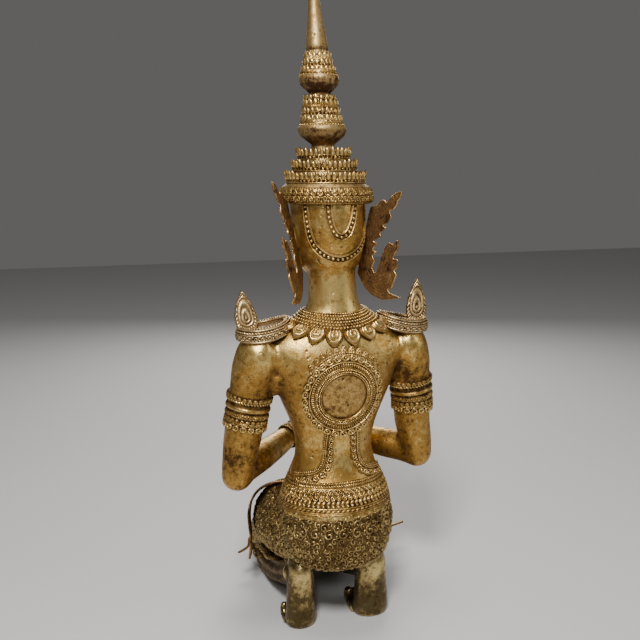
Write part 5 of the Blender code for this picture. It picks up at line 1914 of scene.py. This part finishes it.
@dataclass
class Studio:
    """A pale floor, soft lights and the camera at the photograph's angle."""

    lights: tuple[tuple[str, tuple[float, float, float], float, float], ...] = (
        ("key", (0.36, 0.78, 1.08), 16, 0.22), ("lens", (0.32, 0.95, 0.72), 1.7, 0.12),
        ("fill", (-0.95, 0.6, 0.6), 2.0, 0.6), ("top", (0.05, 0.1, 1.3), 5, 0.35),
        ("front", (-0.35, -1.1, 0.8), 9, 0.7),
    )
    sky: Colour = (0.93, 0.91, 0.89)
    sky_power: float = 0.13
    paper: Colour = (0.58, 0.565, 0.55)
    floor_half: float = 3.0
    floor_drop: float = 0.0005
    yaw: float = 17.5
    pitch: float = 10.74
    height: float = 0.4219
    distance: float = 0.6938
    lens: float = 43.875
    shift: float = -14 / 640
    sensor: float = 36.0

    def camera(self) -> None:
        """Places the camera behind the figure, a little to its left, looking slightly down."""
        data = bpy.data.cameras.new("camera")
        data.sensor_width = self.sensor
        data.lens = self.lens
        data.shift_x = self.shift
        made = bpy.data.objects.new("camera", data)
        bpy.context.scene.collection.objects.link(made)
        turn, tip = math.radians(self.yaw), math.radians(self.pitch)
        flat = BASE_SHIFT * MM
        made.location = (
            self.distance * math.sin(turn) + flat[0], self.distance * math.cos(turn) + flat[1], self.height
        )
        look = Vector((-math.sin(turn) * math.cos(tip), -math.cos(turn) * math.cos(tip), -math.sin(tip)))
        made.rotation_euler = look.to_track_quat("-Z", "Y").to_euler()
        bpy.context.scene.camera = made

    @staticmethod
    def light(name: str, spot: tuple[float, float, float], power: float, size: float) -> None:
        """Adds a square soft light aimed at the figure's back and chest."""
        data = bpy.data.lights.new(name, "AREA")
        data.energy = power
        data.size = size
        made = bpy.data.objects.new(name, data)
        made.location = spot
        made.rotation_euler = (Vector(AIM) - Vector(spot)).to_track_quat("-Z", "Y").to_euler()
        bpy.context.scene.collection.objects.link(made)

    def build(self) -> None:
        """Sets up camera, lights, sky and floor."""
        self.camera()
        for light in self.lights:
            self.light(*light)
        world = bpy.data.worlds.new("sky")
        world.use_nodes = True
        background = world.node_tree.nodes["Background"].inputs
        background[0].default_value = (*self.sky, 1)
        background[1].default_value = self.sky_power
        bpy.context.scene.world = world
        mesh = bpy.data.meshes.new("floor")
        far = self.floor_half
        mesh.from_pydata([(-far, -far, 0), (far, -far, 0), (far, far, 0), (-far, far, 0)], [], [(0, 1, 2, 3)])
        floor = bpy.data.objects.new("floor", mesh)
        floor.location = (0, 0, -self.floor_drop)
        bpy.context.scene.collection.objects.link(floor)
        graph = Graph("floor_paper")
        mesh.materials.append(graph.finish({"Base Color": (*self.paper, 1.0), "Roughness": 0.8}))


def main() -> None:
    """Builds every sub-assembly in order."""
    finishes = Finishes()
    assemblies = (
        Flesh(), Skirt(), Belt(), Medallions(), Collar(), ArmJewels(), Harness(), Crown(), ShoulderOrnament(),
        CutPlates(), HipTails(), LapPanel(),
    )
    for assembly in assemblies:
        assembly.build(finishes)
    Studio().build()


if __name__ == "__main__":
    main()
